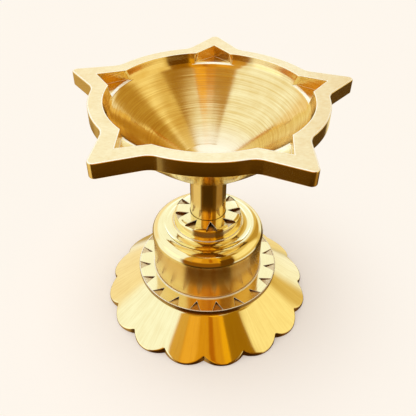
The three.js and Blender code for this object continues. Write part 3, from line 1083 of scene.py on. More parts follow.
@dataclass
class StarBowl:
    """The bowl: a star plate with five wick pockets, a turned cup, and a spigot below.

    Attributes:
        outline: the plate as seen from above.
        plate_top: height of the plate's top.
        plate_thickness: its thickness.
        pocket_depth: depth of the wick pockets where they open into the cup.
        pocket_fall: how much deeper they are at their sharp ends.
        pocket_sill: width of the sloping sill between a pocket's floor and the cup.
        pocket_line: width of the painted highlight line along the foot of a pocket's walls.
        seat: height at which the bowl stands on the stem.
        seat_radius: the bowl's radius there.
        top_radius: the bowl's radius under the plate.
        curve: radius of its side's curve.
        wall: its thickness.
        floor: height of the cup's floor above the seat.
        spigot_radius: radius of the spigot in the stem.
        spigot_length: its length.
        bore_radius: radius of the hole for the bolt.
        bore_top: depth of that hole above the seat.
        edge: rounding of the plate's outer edges.
        lip: rounding of the cup's and pockets' upper edges.
        glint_width: width of the painted highlight line beside each edge of the plate.
        band_blend: rounding between the band beside the pockets and the cup.
        bottom_blend: rounding between the cup's side and its floor.
        band_step: distance between the rings of the band beside the pockets.
        band_foot: how far below the pocket floors' edge the band ends.
        line_step: distance between the rings of the turned cup.
        line_foot: how far down the band, as a share, the painted highlight line runs beside a pocket.
        tool_step: spacing of the lathe tool's grooves.
        tool_depth: their depth.
        tool_seed: which of their random patterns it is.
        chamfer: chamfer of the spigot's end and of the hole.
        seat_chamfer: chamfer of the seat's edge.
        seat_rise: height above the seat at which its side starts.
        flare: how far its side turns out under the plate.
        side_step: distance between the rings of its side.
    """

    outline: StarOutline = field(default_factory=StarOutline)
    plate_top: float = 88.2
    plate_thickness: float = 4.95
    pocket_depth: float = 3.35
    pocket_fall: float = 0.95
    pocket_sill: float = 0.95
    pocket_line: float = 0.16
    seat: float = 57.2
    seat_radius: float = 6.6
    top_radius: float = 36.0
    curve: float = 150.0
    wall: float = 3.6
    floor: float = 4.8
    spigot_radius: float = 4.6
    spigot_length: float = 6.0
    bore_radius: float = 3.2
    bore_top: float = 1.6
    edge: float = 0.35
    lip: float = 0.22
    glint_width: float = 0.12
    band_blend: float = 9.0
    bottom_blend: float = 9.0
    band_step: float = 0.6
    band_foot: float = 0.15
    line_step: float = 0.28
    line_foot: float = 0.4
    tool_step: float = 0.45
    tool_depth: float = 0.028
    tool_seed: float = 7.0
    chamfer: float = 0.3
    seat_chamfer: float = 0.15
    seat_rise: float = 0.1
    flare: float = 0.25
    side_step: float = 1.5

    def side_centre(self) -> Vector:
        """The centre of the arcs that the bowl's two sides follow.

        Returns:
            The centre.
        """
        low = Vector((self.seat_radius, self.seat))
        high = Vector((self.top_radius, self.plate_top - self.plate_thickness))
        chord = high - low
        away = math.sqrt(self.curve**2 - chord.length_squared / 4)
        return (low + high) / 2 + Vector((-chord.y, chord.x)).normalized() * away

    def side(self, radius: float, high: float, low: float, step: float) -> list[tuple[float, float]]:
        """The knots of one side, from a height down or up to another.

        Args:
            radius: the arc's radius.
            high: height of the first knot.
            low: height of the last one.
            step: the longest stretch between two knots.

        Returns:
            The knots.
        """
        centre = self.side_centre()
        first = math.asin((high - centre.y) / radius)
        last = math.asin((low - centre.y) / radius)
        count = max(2, math.ceil(abs(last - first) * radius / step))
        return [(centre.x + radius * math.cos(first + (last - first) * k / count),
                 centre.y + radius * math.sin(first + (last - first) * k / count))
                for k in range(count + 1)]

    def rings(self) -> Rings:
        """The rings of one sector, from the underside's middle over the plate into the cup.

        Returns:
            The rings.
        """
        columns = self.outline.columns()
        rings = Rings(whole=False, closed=False)

        def level(places: list[Vector], height: float, finish: int | list[int]) -> None:
            """Adds a ring whose points share a height."""
            rings.add([(p.x, p.y, height) for p in places], finish)

        def circle(radius: float, height: float, finish: Finish) -> None:
            """Adds a round ring."""
            level([self.outline.on_circle(a, radius) for _, _, a, _ in columns], height,
                  finish.value)

        bottom = self.plate_top - self.plate_thickness
        mouth = self.seat - self.spigot_length
        circle(0, self.seat + self.bore_top, Finish.CAST)
        for radius, height in (
            (self.bore_radius, self.seat + self.bore_top),
            (self.bore_radius, mouth + self.chamfer),
            (self.bore_radius + self.chamfer, mouth),
            (self.spigot_radius - self.chamfer, mouth),
            (self.spigot_radius, mouth + self.chamfer),
            (self.spigot_radius, self.seat),
            (self.seat_radius - self.seat_chamfer, self.seat),
        ):
            circle(radius, height, Finish.CAST)
        for radius, height in self.side(self.curve, self.seat + self.seat_rise,
                                        bottom - self.flare, self.side_step):
            circle(radius, height, Finish.SATIN)
        circle(self.top_radius + self.flare, bottom, Finish.SATIN)
        self.plate_rings(rings, columns, bottom)
        self.pocket_rings(rings, columns)
        for radius, height in self.cup():
            circle(radius, height, Finish.TURNED)
        return rings

    def plate_rings(self, rings: Rings, columns: list, bottom: float) -> None:
        """Adds the plate's underside, edge and top as far as the cup's lip.

        Args:
            rings: the rings so far.
            columns: the sector's columns.
            bottom: height of the plate's underside.
        """
        steps = 4
        for k in range(steps + 1):
            turn = math.pi / 2 * k / steps
            inset = self.edge * (1 - math.sin(turn))
            rise = self.edge * (1 - math.cos(turn))
            rings.add([(p.x - o.x * inset, p.y - o.y * inset, bottom + rise)
                       for p, o, _, _ in columns], (Finish.EDGE if k else Finish.SATIN).value)
        # The upper half of the outer edge's rounding, a strip beside it, and a strip beside the lip are
        # painted pale as highlight lines.
        for k in range(steps + 1):
            turn = math.pi / 2 * k / steps
            inset = self.edge * (1 - math.cos(turn))
            drop = self.edge * (1 - math.sin(turn))
            finish = Finish.WORN if 2 * k > steps else Finish.EDGE
            rings.add([(p.x - o.x * inset, p.y - o.y * inset, self.plate_top - drop)
                       for p, o, _, _ in columns], finish.value)
        rings.add([(p.x - o.x * (self.edge + self.glint_width), p.y - o.y * (self.edge + self.glint_width),
                    self.plate_top) for p, o, _, _ in columns], Finish.WORN.value)
        for inset, finish in ((self.lip + self.glint_width, Finish.LAPPED), (self.lip, Finish.WORN)):
            inner = [self.outline.inner(a, inside, inset) for _, _, a, inside in columns]
            rings.add([(p.x, p.y, self.plate_top) for p in inner], finish.value)

    def pocket_rings(self, rings: Rings, columns: list) -> None:
        """Adds the lip, the pockets' walls and floors, their bevels, and the band between them.

        Args:
            rings: the rings so far.
            columns: the sector's columns.
        """

        def finishes(pocket: Finish) -> list[int]:
            """The finishes of a ring: in a pocket, on its bevels and on the band.

            Args:
                pocket: the finish in a pocket.

            Returns:
                The finish of each column.
            """
            found = []
            for here, after in zip(columns, columns[1:] + columns[-1:]):
                bevel = here[3] != after[3]
                beside = pocket if here[3] else Finish.TURNED
                found.append((Finish.EDGE if bevel else beside).value)
            return found

        # The lip's first band is painted pale as a highlight line.
        steps = 3
        for k in range(1, steps + 1):
            turn = math.pi / 2 * k / steps
            inset = self.lip * (1 - math.sin(turn))
            drop = self.lip * (1 - math.cos(turn))
            places = [self.outline.inner(a, inside, inset) for _, _, a, inside in columns]
            rings.add([(p.x, p.y, self.plate_top - drop) for p in places],
                      (Finish.WORN if k == 1 else Finish.EDGE).value)
        floor = self.plate_top - self.pocket_depth
        band = self.band()
        first = self.plate_top - self.lip
        for k, (radius, height) in enumerate(band[1:-1]):
            share = (k + 1) / (len(band) - 2)
            ring = []
            for _, _, angle, inside in columns:
                place = self.outline.inner(angle, inside, 0)
                if inside:
                    bottom = self.pocket_floor(place.x)
                    ring.append((place.x, place.y, first + (bottom - first) * share))
                else:
                    place = place.normalized() * radius
                    ring.append((place.x, place.y, height))
            rings.add(ring, finishes(Finish.MILLED))
        # A strip along the foot of each pocket's walls and the sloping sill are painted pale as highlight
        # lines.
        last, below = Vector(band[-2]), Vector(band[-1])
        ring = []
        for _, _, angle, inside in columns:
            place = self.outline.inner(angle, inside, -self.pocket_line)
            if inside:
                bottom = self.pocket_floor(place.x)
                ring.append((place.x, place.y, bottom))
            else:
                between = last.lerp(below, self.line_foot)
                place = place.normalized() * between.x
                ring.append((place.x, place.y, between.y))
        rings.add(ring, finishes(Finish.WORN))
        radius, height = band[-1]
        for reach, drop, finish in ((self.pocket_sill, 0.0, Finish.MILLED),
                                    (0.0, floor - height, Finish.WORN)):
            ring = []
            for _, _, angle, inside in columns:
                out = radius + (reach if inside else 0)
                place = self.outline.on_circle(angle, out, out)
                ring.append((place.x, place.y, floor - drop if inside else height))
            rings.add(ring, finishes(finish))

    def pocket_floor(self, reach: float) -> float:
        """The height of a pocket's floor, which falls towards its sharp end."""
        fall = self.pocket_fall / (self.outline.pocket_reach - self.outline.rim_radius)
        return self.plate_top - self.pocket_depth - max(0.0, reach - self.outline.rim_radius) * fall

    def inside_profile(self) -> list[tuple[float, float]]:
        """The knots of the inside, from the lip down to the axis, with the band blended in.

        Returns:
            The knots.
        """
        floor = self.seat + self.floor
        ledge = self.plate_top - self.pocket_depth
        side = self.side(self.curve - self.wall, ledge, floor, self.line_step)
        top = Vector((self.outline.rim_radius, self.plate_top - self.lip))
        corner = Vector(side[0])
        soft = corner_arc(top, corner, corner.lerp(Vector(side[1]), 14), self.band_blend)
        knots = divided(top, soft[0], self.band_step)
        for start, end in zip(soft, soft[1:]):
            knots += divided(start, end, self.line_step)
        wall_end = Vector(side[-1])
        before = Vector(side[-2])
        blend = corner_arc(wall_end + (before - wall_end).normalized() * 12, wall_end,
                           Vector((0, floor)), self.bottom_blend)
        knots += [knot for knot in side if blend[0].y + 0.02 < knot[1] < soft[-1].y + 0.01]
        for start, end in zip(blend, blend[1:]):
            knots += divided(start, end, self.line_step)
        last = blend[-1].x
        count = math.ceil(last / self.line_step)
        return knots + [(last * (1 - k / count), floor) for k in range(count + 1)]

    def band(self) -> list[tuple[float, float]]:
        """The inside's knots above the pocket floors' edge, and the first one below.

        Returns:
            The knots.
        """
        low = self.plate_top - self.pocket_depth - self.band_foot
        profile = self.inside_profile()
        above = [knot for knot in profile if knot[1] > low]
        return above + [profile[len(above)]]

    def cup(self) -> list[tuple[float, float]]:
        """The knots of the turned cup, from the pocket floors' edge to the axis."""
        return self.inside_profile()[len(self.band()):]

    def build(self, wardrobe: Wardrobe) -> bpy.types.Object:
        """Makes the bowl: five sectors, welded, with the cup's turning lines.

        Args:
            wardrobe: hands out the materials.

        Returns:
            The piece.
        """
        finishes = [Finish.LAPPED, Finish.TURNED, Finish.EDGE, Finish.CAST, Finish.SATIN,
                    Finish.MILLED, Finish.WORN]
        materials = wardrobe.inputs(finishes)
        mesh = grown("star_bowl", self.rings().mesh("star_sector"), round_array(finishes), {
            "Count": POINTS, "First angle": math.pi / 2, "Axis": AXIS, "Weld": SEAM, **materials,
        })
        mesh = grown("star_bowl", mesh, turning_lines(finishes), {
            "Axis": AXIS, "Spacing": self.tool_step * MM, "Depth": self.tool_depth * MM,
            "Seed": self.tool_seed, **materials,
        })
        return finished("bowl_star_plate", mesh, "star_bowl", "bowl")


@dataclass
class Stem:
    """The plain round stem, bored for the bolt and for the bowl's spigot.

    Attributes:
        radius: its outside.
        bottom: its lower end, in the collar.
        top: its upper end, under the bowl.
        bore: the hole for the bolt.
        seat_bore: the hole for the spigot.
        seat_floor: height of that hole's floor.
        edge: rounding of its edges.
        foot_edge: rounding of its foot's outer edge.
        columns: how many points each ring has.
    """

    radius: float = 6.6
    bottom: float = 37.5
    top: float = 57.2
    bore: float = 3.3
    seat_bore: float = 4.75
    seat_floor: float = 51.05
    edge: float = 0.2
    foot_edge: float = 0.3
    columns: int = 144

    def build(self, wardrobe: Wardrobe) -> bpy.types.Object:
        """Makes the stem.

        Args:
            wardrobe: hands out the materials.

        Returns:
            The piece.
        """
        finishes = [Finish.SATIN]
        knots = rounded([
            Corner(self.bore, self.bottom, self.edge, Finish.SATIN),
            Corner(self.radius, self.bottom, self.foot_edge, Finish.SATIN),
            Corner(self.radius, self.top, self.edge, Finish.SATIN),
            Corner(self.seat_bore, self.top, self.edge, Finish.SATIN),
            Corner(self.seat_bore, self.seat_floor, 0, Finish.SATIN),
            Corner(self.bore, self.seat_floor, 0, Finish.SATIN),
        ], step=2.0)
        mesh = on_axis("stem", lathe("stem", knots, self.columns), finishes, wardrobe)
        return finished("stem_tube", mesh, "stem", "base")


@dataclass
class NotchedCollar:
    """The stepped collar under the stem, with nine graved notches on its top.

    Attributes:
        bottom: where it stands on the drum.
        top: its top.
        top_radius: radius of its top edge.
        wall_radius: radius of its wall's foot.
        step_radius: radius of the fine step below.
        base_radius: radius of its foot.
        cove: height of the hollow moulding above the foot.
        seat_radius: the hole that the stem stands in.
        seat_floor: height of that hole's floor.
        bore: the hole for the bolt.
        spigot_radius: radius of the spigot in the drum.
        spigot_length: its length.
        top_rounding: rounding of its top edge.
        seam: height of the dark seam at its foot, painted shade where the collar meets the drum.
        step_foot: height of the fine step's outer edge above the hollow moulding.
        step_height: height of its inner edge.
        step_edge: rounding of both.
        seat_edge: rounding of the seat's upper edge.
        spigot_edge: rounding of the spigot's end.
        columns: how many points each ring has.
        notches: the notches in its top.
    """

    bottom: float = 35.5
    top: float = 41.25
    top_radius: float = 12.3
    wall_radius: float = 12.9
    step_radius: float = 13.15
    base_radius: float = 16.6
    cove: float = 0.95
    seat_radius: float = 6.75
    seat_floor: float = 37.5
    bore: float = 3.3
    spigot_radius: float = 5.0
    spigot_length: float = 2.4
    top_rounding: float = 1.4
    seam: float = 0.2
    step_foot: float = 0.16
    step_height: float = 0.2
    step_edge: float = 0.06
    seat_edge: float = 0.12
    spigot_edge: float = 0.2
    columns: int = 180
    notches: Pits = Pits(9, math.radians(-80.8), 7.45, 12.1, 2.1, 1.3, 0.75, 0.22)

    def knots(self) -> list[Knot]:
        """The collar's outline.

        Returns:
            The knots.
        """
        step = self.bottom + self.cove
        hollow = []
        # The hollow's lowest band is a dark seam of painted shade.
        for k in range(7):
            angle = math.pi / 2 * k / 6
            hollow.append(Corner(
                self.base_radius - (self.base_radius - self.step_radius) * math.sin(angle),
                step - self.cove * math.cos(angle) + (self.seam if k == 0 else 0),
                0, Finish.AGED if k == 0 else Finish.POLISHED,
            ))
        return rounded([
            Corner(self.bore, self.bottom - self.spigot_length),
            Corner(self.spigot_radius, self.bottom - self.spigot_length, self.spigot_edge),
            Corner(self.spigot_radius, self.bottom),
            Corner(self.base_radius, self.bottom),
            *hollow,
            # The fine step is painted pale as a highlight line.
            Corner(self.step_radius, step + self.step_foot, self.step_edge, Finish.WORN),
            Corner(self.wall_radius, step + self.step_height, self.step_edge, Finish.WORN),
            Corner(self.top_radius, self.top, self.top_rounding),
            Corner(self.seat_radius, self.top, self.seat_edge),
            Corner(self.seat_radius, self.seat_floor),
            Corner(self.bore, self.seat_floor),
        ])

    def build(self, wardrobe: Wardrobe) -> bpy.types.Object:
        """Makes the collar and cuts its notches.

        Args:
            wardrobe: hands out the materials.

        Returns:
            The piece.
        """
        finishes = [Finish.POLISHED, Finish.GRAVED, Finish.CUT, Finish.WORN, Finish.AGED]
        mesh = on_axis("collar", lathe("collar", self.knots(), self.columns), finishes, wardrobe)
        mesh = self.notches.cut(mesh, self.top, finishes, wardrobe)
        return finished("collar_notched", mesh, "notched_collar", "base")


@dataclass
class Drum:
    """The drum: an upturned cup with a rounded shoulder.

    Attributes:
        foot: where its wall stands on the ring.
        top: its top.
        radius: its wall's outside.
        wall: its thickness.
        shoulder_reach: how far the shoulder goes in.
        shoulder_height: how far it goes up.
        overhang: how far it stands out over the wall.
        crease: the height of the crease below it.
        hole: the hole for the collar's spigot.
        spigot_radius: radius of its own spigot.
        spigot_end: the spigot's lower end.
        spigot_edge: rounding of that end.
        foot_edge: rounding of the wall's foot.
        columns: how many points each ring has.
    """

    foot: float = 15.15
    top: float = 35.5
    radius: float = 21.1
    wall: float = 3.0
    shoulder_reach: float = 4.3
    shoulder_height: float = 4.25
    overhang: float = 0.25
    crease: float = 0.3
    hole: float = 5.15
    spigot_radius: float = 19.6
    spigot_end: float = 11.55
    spigot_edge: float = 0.2
    foot_edge: float = 0.1
    columns: int = 240

    def shoulder(self, radius: float, top: float, count: int) -> list[Corner]:
        """The knots of a shoulder, from its widest place up to its top.

        Args:
            radius: radius of its widest place.
            top: height of its top.
            count: how many steps it has.

        Returns:
            The knots, as corners.
        """
        found = []
        for k in range(count + 1):
            angle = math.pi / 2 * k / count
            found.append(Corner(
                radius - self.shoulder_reach * (1 - math.cos(angle)),
                top - self.shoulder_height * (1 - math.sin(angle)),
            ))
        return found

    def build(self, wardrobe: Wardrobe) -> bpy.types.Object:
        """Makes the drum.

        Args:
            wardrobe: hands out the materials.

        Returns:
            The piece.
        """
        finishes = [Finish.POLISHED, Finish.CAST, Finish.DRAWN]
        under = self.top - self.wall
        inside = [Corner(c.radius, c.height, 0, Finish.CAST)
                  for c in reversed(self.shoulder(self.radius - self.wall, under, 8))]
        knots = rounded([
            Corner(self.radius - self.wall, self.spigot_end, self.spigot_edge, Finish.CAST),
            Corner(self.spigot_radius, self.spigot_end, self.spigot_edge, Finish.CAST),
            Corner(self.spigot_radius, self.foot, 0, Finish.CAST),
            Corner(self.radius, self.foot, self.foot_edge),
            Corner(self.radius, self.top - self.shoulder_height - self.crease, 0, Finish.DRAWN),
            *self.shoulder(self.radius + self.overhang, self.top, 20),
            Corner(self.hole, self.top),
            Corner(self.hole, under, 0, Finish.CAST),
            *inside,
        ], step=1.5)
        mesh = on_axis("drum", lathe("drum", knots, self.columns), finishes, wardrobe)
        return finished("drum_shell", mesh, "drum_body", "base")


@dataclass
class FootRing:
    """The flat ring under the drum, with a fine bead and twenty graved marks.

    Attributes:
        bottom: its underside.
        top: its top.
        radius: its outside.
        bore: its hole, round the drum's spigot.
        edge: rounding of its outer edges.
        bead_inner: the bead's inside.
        bead_outer: the bead's outside.
        bead_height: the bead's height.
        bead_edge: rounding of the bead.
        under_inset: how far its underside's edge is cut in.
        under_rise: how far it is cut up.
        rim: the corners of its upper edge: how far in, how far down, and the finish.
        columns: how many points each ring has.
        marks: the marks in its top.
    """

    bottom: float = 13.0
    top: float = 15.15
    radius: float = 27.55
    bore: float = 19.75
    edge: float = 0.3
    bead_inner: float = 21.15
    bead_outer: float = 21.7
    bead_height: float = 0.4
    bead_edge: float = 0.3
    under_inset: float = 0.35
    under_rise: float = 0.5
    # Its outer corners are painted dark as shade, its top outer edge pale as a highlight line.
    rim: tuple[tuple[float, float, Finish], ...] = (
        (0.0, 0.3, Finish.AGED), (0.1, 0.05, Finish.AGED),
        (0.25, 0.0, Finish.WORN), (0.42, 0.0, Finish.WORN),
    )
    columns: int = 240
    marks: Pits = Pits(20, math.radians(-7), 22.9, 27.0, 2.0, 0.8, 0.22, 0.16)

    def build(self, wardrobe: Wardrobe) -> bpy.types.Object:
        """Makes the ring and cuts its marks.

        Args:
            wardrobe: hands out the materials.

        Returns:
            The piece.
        """
        finishes = [Finish.POLISHED, Finish.GRAVED, Finish.CUT, Finish.WORN, Finish.AGED]
        # The ring's outer side is painted dark as shade; its rim's top edge and the bead are painted pale
        # as highlight lines.
        knots = rounded([
            Corner(self.bore, self.bottom),
            Corner(self.radius - self.under_inset, self.bottom),
            Corner(self.radius, self.bottom + self.under_rise, self.edge, Finish.AGED),
            *[Corner(self.radius - inset, self.top - drop, 0, finish)
              for inset, drop, finish in self.rim],
            Corner(self.bead_outer, self.top),
            Corner(self.bead_outer, self.top + self.bead_height, self.bead_edge, Finish.WORN),
            Corner(self.bead_inner, self.top + self.bead_height, self.bead_edge, Finish.WORN),
            Corner(self.bead_inner, self.top),
            Corner(self.bore, self.top),
        ], step=3.0)
        mesh = on_axis("foot_ring", lathe("foot_ring", knots, self.columns), finishes, wardrobe)
        mesh = self.marks.cut(mesh, self.top, finishes, wardrobe)
        return finished("ring_marked", mesh, "foot_ring", "base")


@dataclass
class ScallopedSkirt:
    """The conical foot, whose edge is cut to sixteen round lobes.

    Attributes:
        top: height of its top.
        top_radius: radius of its top.
        lobe_radius: from the axis to a lobe's middle.
        cusp_radius: from the axis to the cusp between two lobes.
        rim: height of the edge at a lobe's middle.
        lobes: how many lobes it has.
        first_lobe: angle of a lobe's middle.
        wall: thickness of the cone.
        web: thickness of the web across its top.
        foot: width of the flat rim inside the cusps.
        recess_radius: the recess for the drum's spigot.
        recess_floor: height of that recess's floor.
        bore: the hole for the bolt.
        edge: height of the lobes' lower chamfer.
        edge_drop: how far below the cone their side ends, besides that; that side is painted dark brown
            as shade.
        lip: the rings of their upper edge: how far in, how far below the cone, and the finish.
        web_blend: rounding between the web and the cone's inside.
        foot_blend: rounding between that and the flat rim.
        foot_edge: rounding of the flat rim's inner edge.
        foot_flat: the part of the flat rim that is round.
    """

    top: float = 13.0
    top_radius: float = 25.5
    lobe_radius: float = 40.8
    cusp_radius: float = 38.1
    rim: float = 1.05
    lobes: int = 16
    first_lobe: float = math.radians(-90 + 1 + 11.25)
    wall: float = 2.6
    web: float = 4.0
    foot: float = 2.0
    recess_radius: float = 19.75
    recess_floor: float = 11.4
    bore: float = 3.3
    edge: float = 0.22
    edge_drop: float = 0.1
    lip: tuple[tuple[float, float, Finish], ...] = (
        (0.05, 0.12, Finish.EDGE), (0.16, 0.04, Finish.BUFFED), (0.38, 0.0, Finish.BUFFED),
    )
    web_blend: float = 1.2
    foot_blend: float = 0.8
    foot_edge: float = 0.3
    foot_flat: float = 1.5

    def lobe(self) -> list[tuple[Vector, Vector]]:
        """One lobe's edge from above, from cusp to cusp, each point with its outward direction.

        Returns:
            The points.
        """
        half_step = math.pi / self.lobes
        chord = 2 * self.cusp_radius * math.sin(half_step)
        rise = self.lobe_radius - self.cusp_radius * math.cos(half_step)
        radius = chord * chord / (8 * rise) + rise / 2
        centre = Vector((self.lobe_radius - radius, 0))
        half_arc = math.asin(chord / 2 / radius)
        found = []
        for k in range(29):
            angle = half_arc * (k / 14 - 1)
            out = toward(angle)
            found.append((centre + out * radius, out))
        return found

    def rings(self) -> Rings:
        """The rings of one lobe's sector, from the web's underside round to its hole.

        Returns:
            The rings.
        """
        slope = (self.top - self.rim) / (self.lobe_radius - self.top_radius)
        lobe = self.lobe()
        rings = Rings(whole=False)

        def circle(radius: float, height: float, finish: Finish) -> None:
            """Adds a round ring."""
            rings.add([polar(radius, math.atan2(point.y, point.x), height) for point, _ in lobe],
                      finish.value)

        def inset_edge(inset: float) -> list[Vector]:
            """The lobe's edge moved in, with its ends on the line between two lobes.

            Args:
                inset: how far in.

            Returns:
                The edge's points.
            """
            half_step = math.pi / self.lobes
            kept = []
            for point, out in lobe:
                place = point - out * inset
                angle = math.atan2(place.y, place.x)
                if abs(angle) > half_step - 1e-6 or point in (lobe[0][0], lobe[-1][0]):
                    end = math.copysign(half_step, point.y)
                    across = Vector((-math.sin(end), math.cos(end)))
                    beyond = place.dot(across) / out.dot(across)
                    place = place - out * beyond
                kept.append(place)
            return kept

        def edge(inset: float, height: float | None, drop: float, finish: Finish) -> None:
            """Adds a ring along the lobe, at a height or on the cone less a drop.

            Args:
                inset: how far in.
                height: its height, or None on the cone.
                drop: how far below the cone.
                finish: its finish.
            """
            ring = []
            for place in inset_edge(inset):
                on_cone = self.top - (place.length - self.top_radius) * slope
                ring.append((place.x, place.y, on_cone - drop if height is None else height))
            rings.add(ring, finish.value)

        inside = self.cusp_radius * math.cos(math.pi / self.lobes) - self.foot
        web = self.top - self.web
        set_back = self.wall / math.sin(math.atan(slope))
        web_radius = self.top_radius + self.web / slope - set_back
        under = web - (inside - web_radius) * slope
        below = [Corner(self.bore, web), Corner(web_radius, web, self.web_blend),
                 Corner(inside, under, self.foot_blend), Corner(inside, 0, self.foot_edge),
                 Corner(inside + self.foot_flat, 0)]
        for radius, height, _ in rounded(below, step=2.0, closed=False):
            circle(radius, height, Finish.CAST)
        edge(self.edge, 0.0, 0.0, Finish.CAST)
        # The lobes' outer side is painted dark brown as shade.
        edge(0.0, self.edge, 0.0, Finish.AGED)
        edge(0.0, None, self.edge + self.edge_drop, Finish.AGED)
        for inset, drop, finish in self.lip:
            edge(inset, None, drop, finish)
        steps = 8
        for k in range(1, steps):
            ring = []
            for place in inset_edge(self.lip[-1][0]):
                radius = place.length + (self.top_radius - place.length) * k / steps
                placed = place.normalized() * radius
                ring.append((placed.x, placed.y, self.top - (radius - self.top_radius) * slope))
            rings.add(ring, Finish.BUFFED.value)
        for radius, height in ((self.top_radius, self.top), (self.recess_radius, self.top),
                               (self.recess_radius, self.recess_floor),
                               (self.bore, self.recess_floor)):
            circle(radius, height, Finish.BUFFED)
        return rings

    def build(self, wardrobe: Wardrobe) -> bpy.types.Object:
        """Makes the skirt: sixteen sectors, welded.

        Args:
            wardrobe: hands out the materials.

        Returns:
            The piece.
        """
        finishes = [Finish.BUFFED, Finish.EDGE, Finish.CAST, Finish.AGED]
        mesh = grown("skirt", self.rings().mesh("lobe_sector"), round_array(finishes), {
            "Count": self.lobes, "First angle": self.first_lobe, "Axis": AXIS, "Weld": SEAM,
            **wardrobe.inputs(finishes),
        })
        return finished("skirt_scalloped", mesh, "scalloped_skirt", "base")


@dataclass
class Fasteners:
    """The tie bolt and its two washers, under the skirt.

    Attributes:
        web: height of the web's underside.
        flat_radius: the flat washer's radius.
        flat_thickness: its thickness.
        spring_radius: the spring washer's radius.
        spring_thickness: its thickness.
        spring_gap: the width of its cut.
        bore: the washers' hole.
        across_flats: the bolt head's width.
        head: its height.
        bolt_radius: radius over the thread.
        root_radius: radius under the thread.
        tip: the bolt's upper end.
        pitch: the thread's pitch.
        turns: how many turns it has.
        ridge: half of its ridge's width, and its height.
        head_chamfer: the rings of the head's lower chamfer: how far outside the flats, and how high.
        columns: how many points each ring of the bolt has, and how many sections the split washer.
        washer_columns: how many points each ring of the flat washer has.
        crease: the bolt's edges turned by more than this many degrees are shaded sharp.
    """

    web: float = 9.0
    flat_radius: float = 6.0
    flat_thickness: float = 1.2
    spring_radius: float = 5.3
    spring_thickness: float = 1.5
    spring_gap: float = 1.6
    bore: float = 3.3
    across_flats: float = 10.0
    head: float = 4.0
    bolt_radius: float = 2.95
    root_radius: float = 2.42
    tip: float = 58.2
    pitch: float = 1.0
    turns: float = 9.0
    ridge: float = 0.38
    head_chamfer: tuple[tuple[float, float], ...] = ((-0.35, 0.0), (-0.1, 0.05), (0.25, 0.2))
    columns: int = 72
    washer_columns: int = 96
    crease: float = 25.0

    def flat_washer(self, wardrobe: Wardrobe) -> bpy.types.Object:
        """Makes the flat washer.

        Args:
            wardrobe: hands out the materials.

        Returns:
            The piece.
        """
        finishes = [Finish.PLATED]
        low = self.web - self.flat_thickness
        knots = rounded([
            Corner(self.bore, low, 0.15, Finish.PLATED),
            Corner(self.flat_radius, low, 0.25, Finish.PLATED),
            Corner(self.flat_radius, self.web, 0.1, Finish.PLATED),
            Corner(self.bore, self.web, 0.1, Finish.PLATED),
        ])
        mesh = on_axis("washer", lathe("washer", knots, self.washer_columns), finishes, wardrobe)
        return finished("washer_flat", mesh, "flat_washer", "base")

    def spring_washer(self, wardrobe: Wardrobe) -> bpy.types.Object:
        """Makes the split washer.

        Args:
            wardrobe: hands out the materials.

        Returns:
            The piece.
        """
        finishes = [Finish.PLATED]
        high = self.web - self.flat_thickness
        low = high - self.spring_thickness
        section = rounded([
            Corner(self.bore + 0.1, low, 0.2, Finish.PLATED),
            Corner(self.spring_radius, low, 0.2, Finish.PLATED),
            Corner(self.spring_radius, high, 0.2, Finish.PLATED),
            Corner(self.bore + 0.1, high, 0.2, Finish.PLATED),
        ])
        gap = self.spring_gap / 2 / self.spring_radius
        middle = ((self.bore + self.spring_radius) / 2, (low + high) / 2)
        rings = Rings(closed=False)
        for i in range(-1, self.columns + 2):
            share = min(max(i, 0), self.columns) / self.columns
            angle = gap + (FULL_TURN - 2 * gap) * share
            ends = i < 0 or i > self.columns
            places = [middle] * len(section) if ends else [knot[:2] for knot in section]
            rings.add([polar(radius, angle, height) for radius, height in places],
                      Finish.PLATED.value)
        mesh = on_axis("washer", rings.mesh("split"), finishes, wardrobe)
        return finished("washer_spring", mesh, "spring_washer", "base")

    def bolt(self, wardrobe: Wardrobe) -> bpy.types.Object:
        """Makes the bolt: a chamfered hexagon head, a shank and a wound thread.

        Args:
            wardrobe: hands out the materials.

        Returns:
            The piece.
        """
        finishes = [Finish.PLATED]
        top = self.web - self.flat_thickness - self.spring_thickness
        bottom = top - self.head
        corner = self.across_flats / 2 / math.cos(math.pi / 6)
        thread_start = self.tip - self.turns * self.pitch - 1.0
        rings = Rings(closed=False)

        def hexagon(limit: float, height: float) -> None:
            """Adds a ring of the head: a hexagon, cut back to a circle of radius limit.

            Args:
                limit: the circle's radius.
                height: its height.
            """
            ring = []
            for i in range(self.columns):
                angle = FULL_TURN * i / self.columns
                from_flat = (angle % (math.pi / 3)) - math.pi / 6
                radius = min(limit, self.across_flats / 2 / math.cos(from_flat))
                ring.append(polar(radius, angle, height))
            rings.add(ring, Finish.PLATED.value)

        rings.add([(0.0, 0.0, bottom)] * self.columns, Finish.PLATED.value)
        for out, rise in self.head_chamfer:
            hexagon(self.across_flats / 2 + out, bottom + rise)
        for limit, height in ((corner, bottom + 0.42), (corner, top - 0.1), (corner - 0.1, top)):
            hexagon(limit, height)
        for radius, height in ((self.bolt_radius, top), (self.bolt_radius, thread_start - 0.5),
                               (self.root_radius, thread_start), (self.root_radius, self.tip - 0.5),
                               (self.root_radius - 0.5, self.tip), (0.0, self.tip)):
            rings.add(round_ring(radius, height, self.columns), Finish.PLATED.value)
        mesh = on_axis("bolt", rings.mesh("shank"), finishes, wardrobe)
        mesh = grown("bolt", mesh, helix(finishes), {
            "Axis": AXIS, "Start": thread_start * MM, "Turns": self.turns,
            "Pitch": self.pitch * MM, "Root": (self.root_radius + 0.1) * MM,
            "Width": self.ridge * MM, "Height": self.ridge * MM, **wardrobe.inputs(finishes),
        })
        return finished("bolt_hexagon", mesh, "tie_bolt", "bolt",
                        self.crease)


# The studio


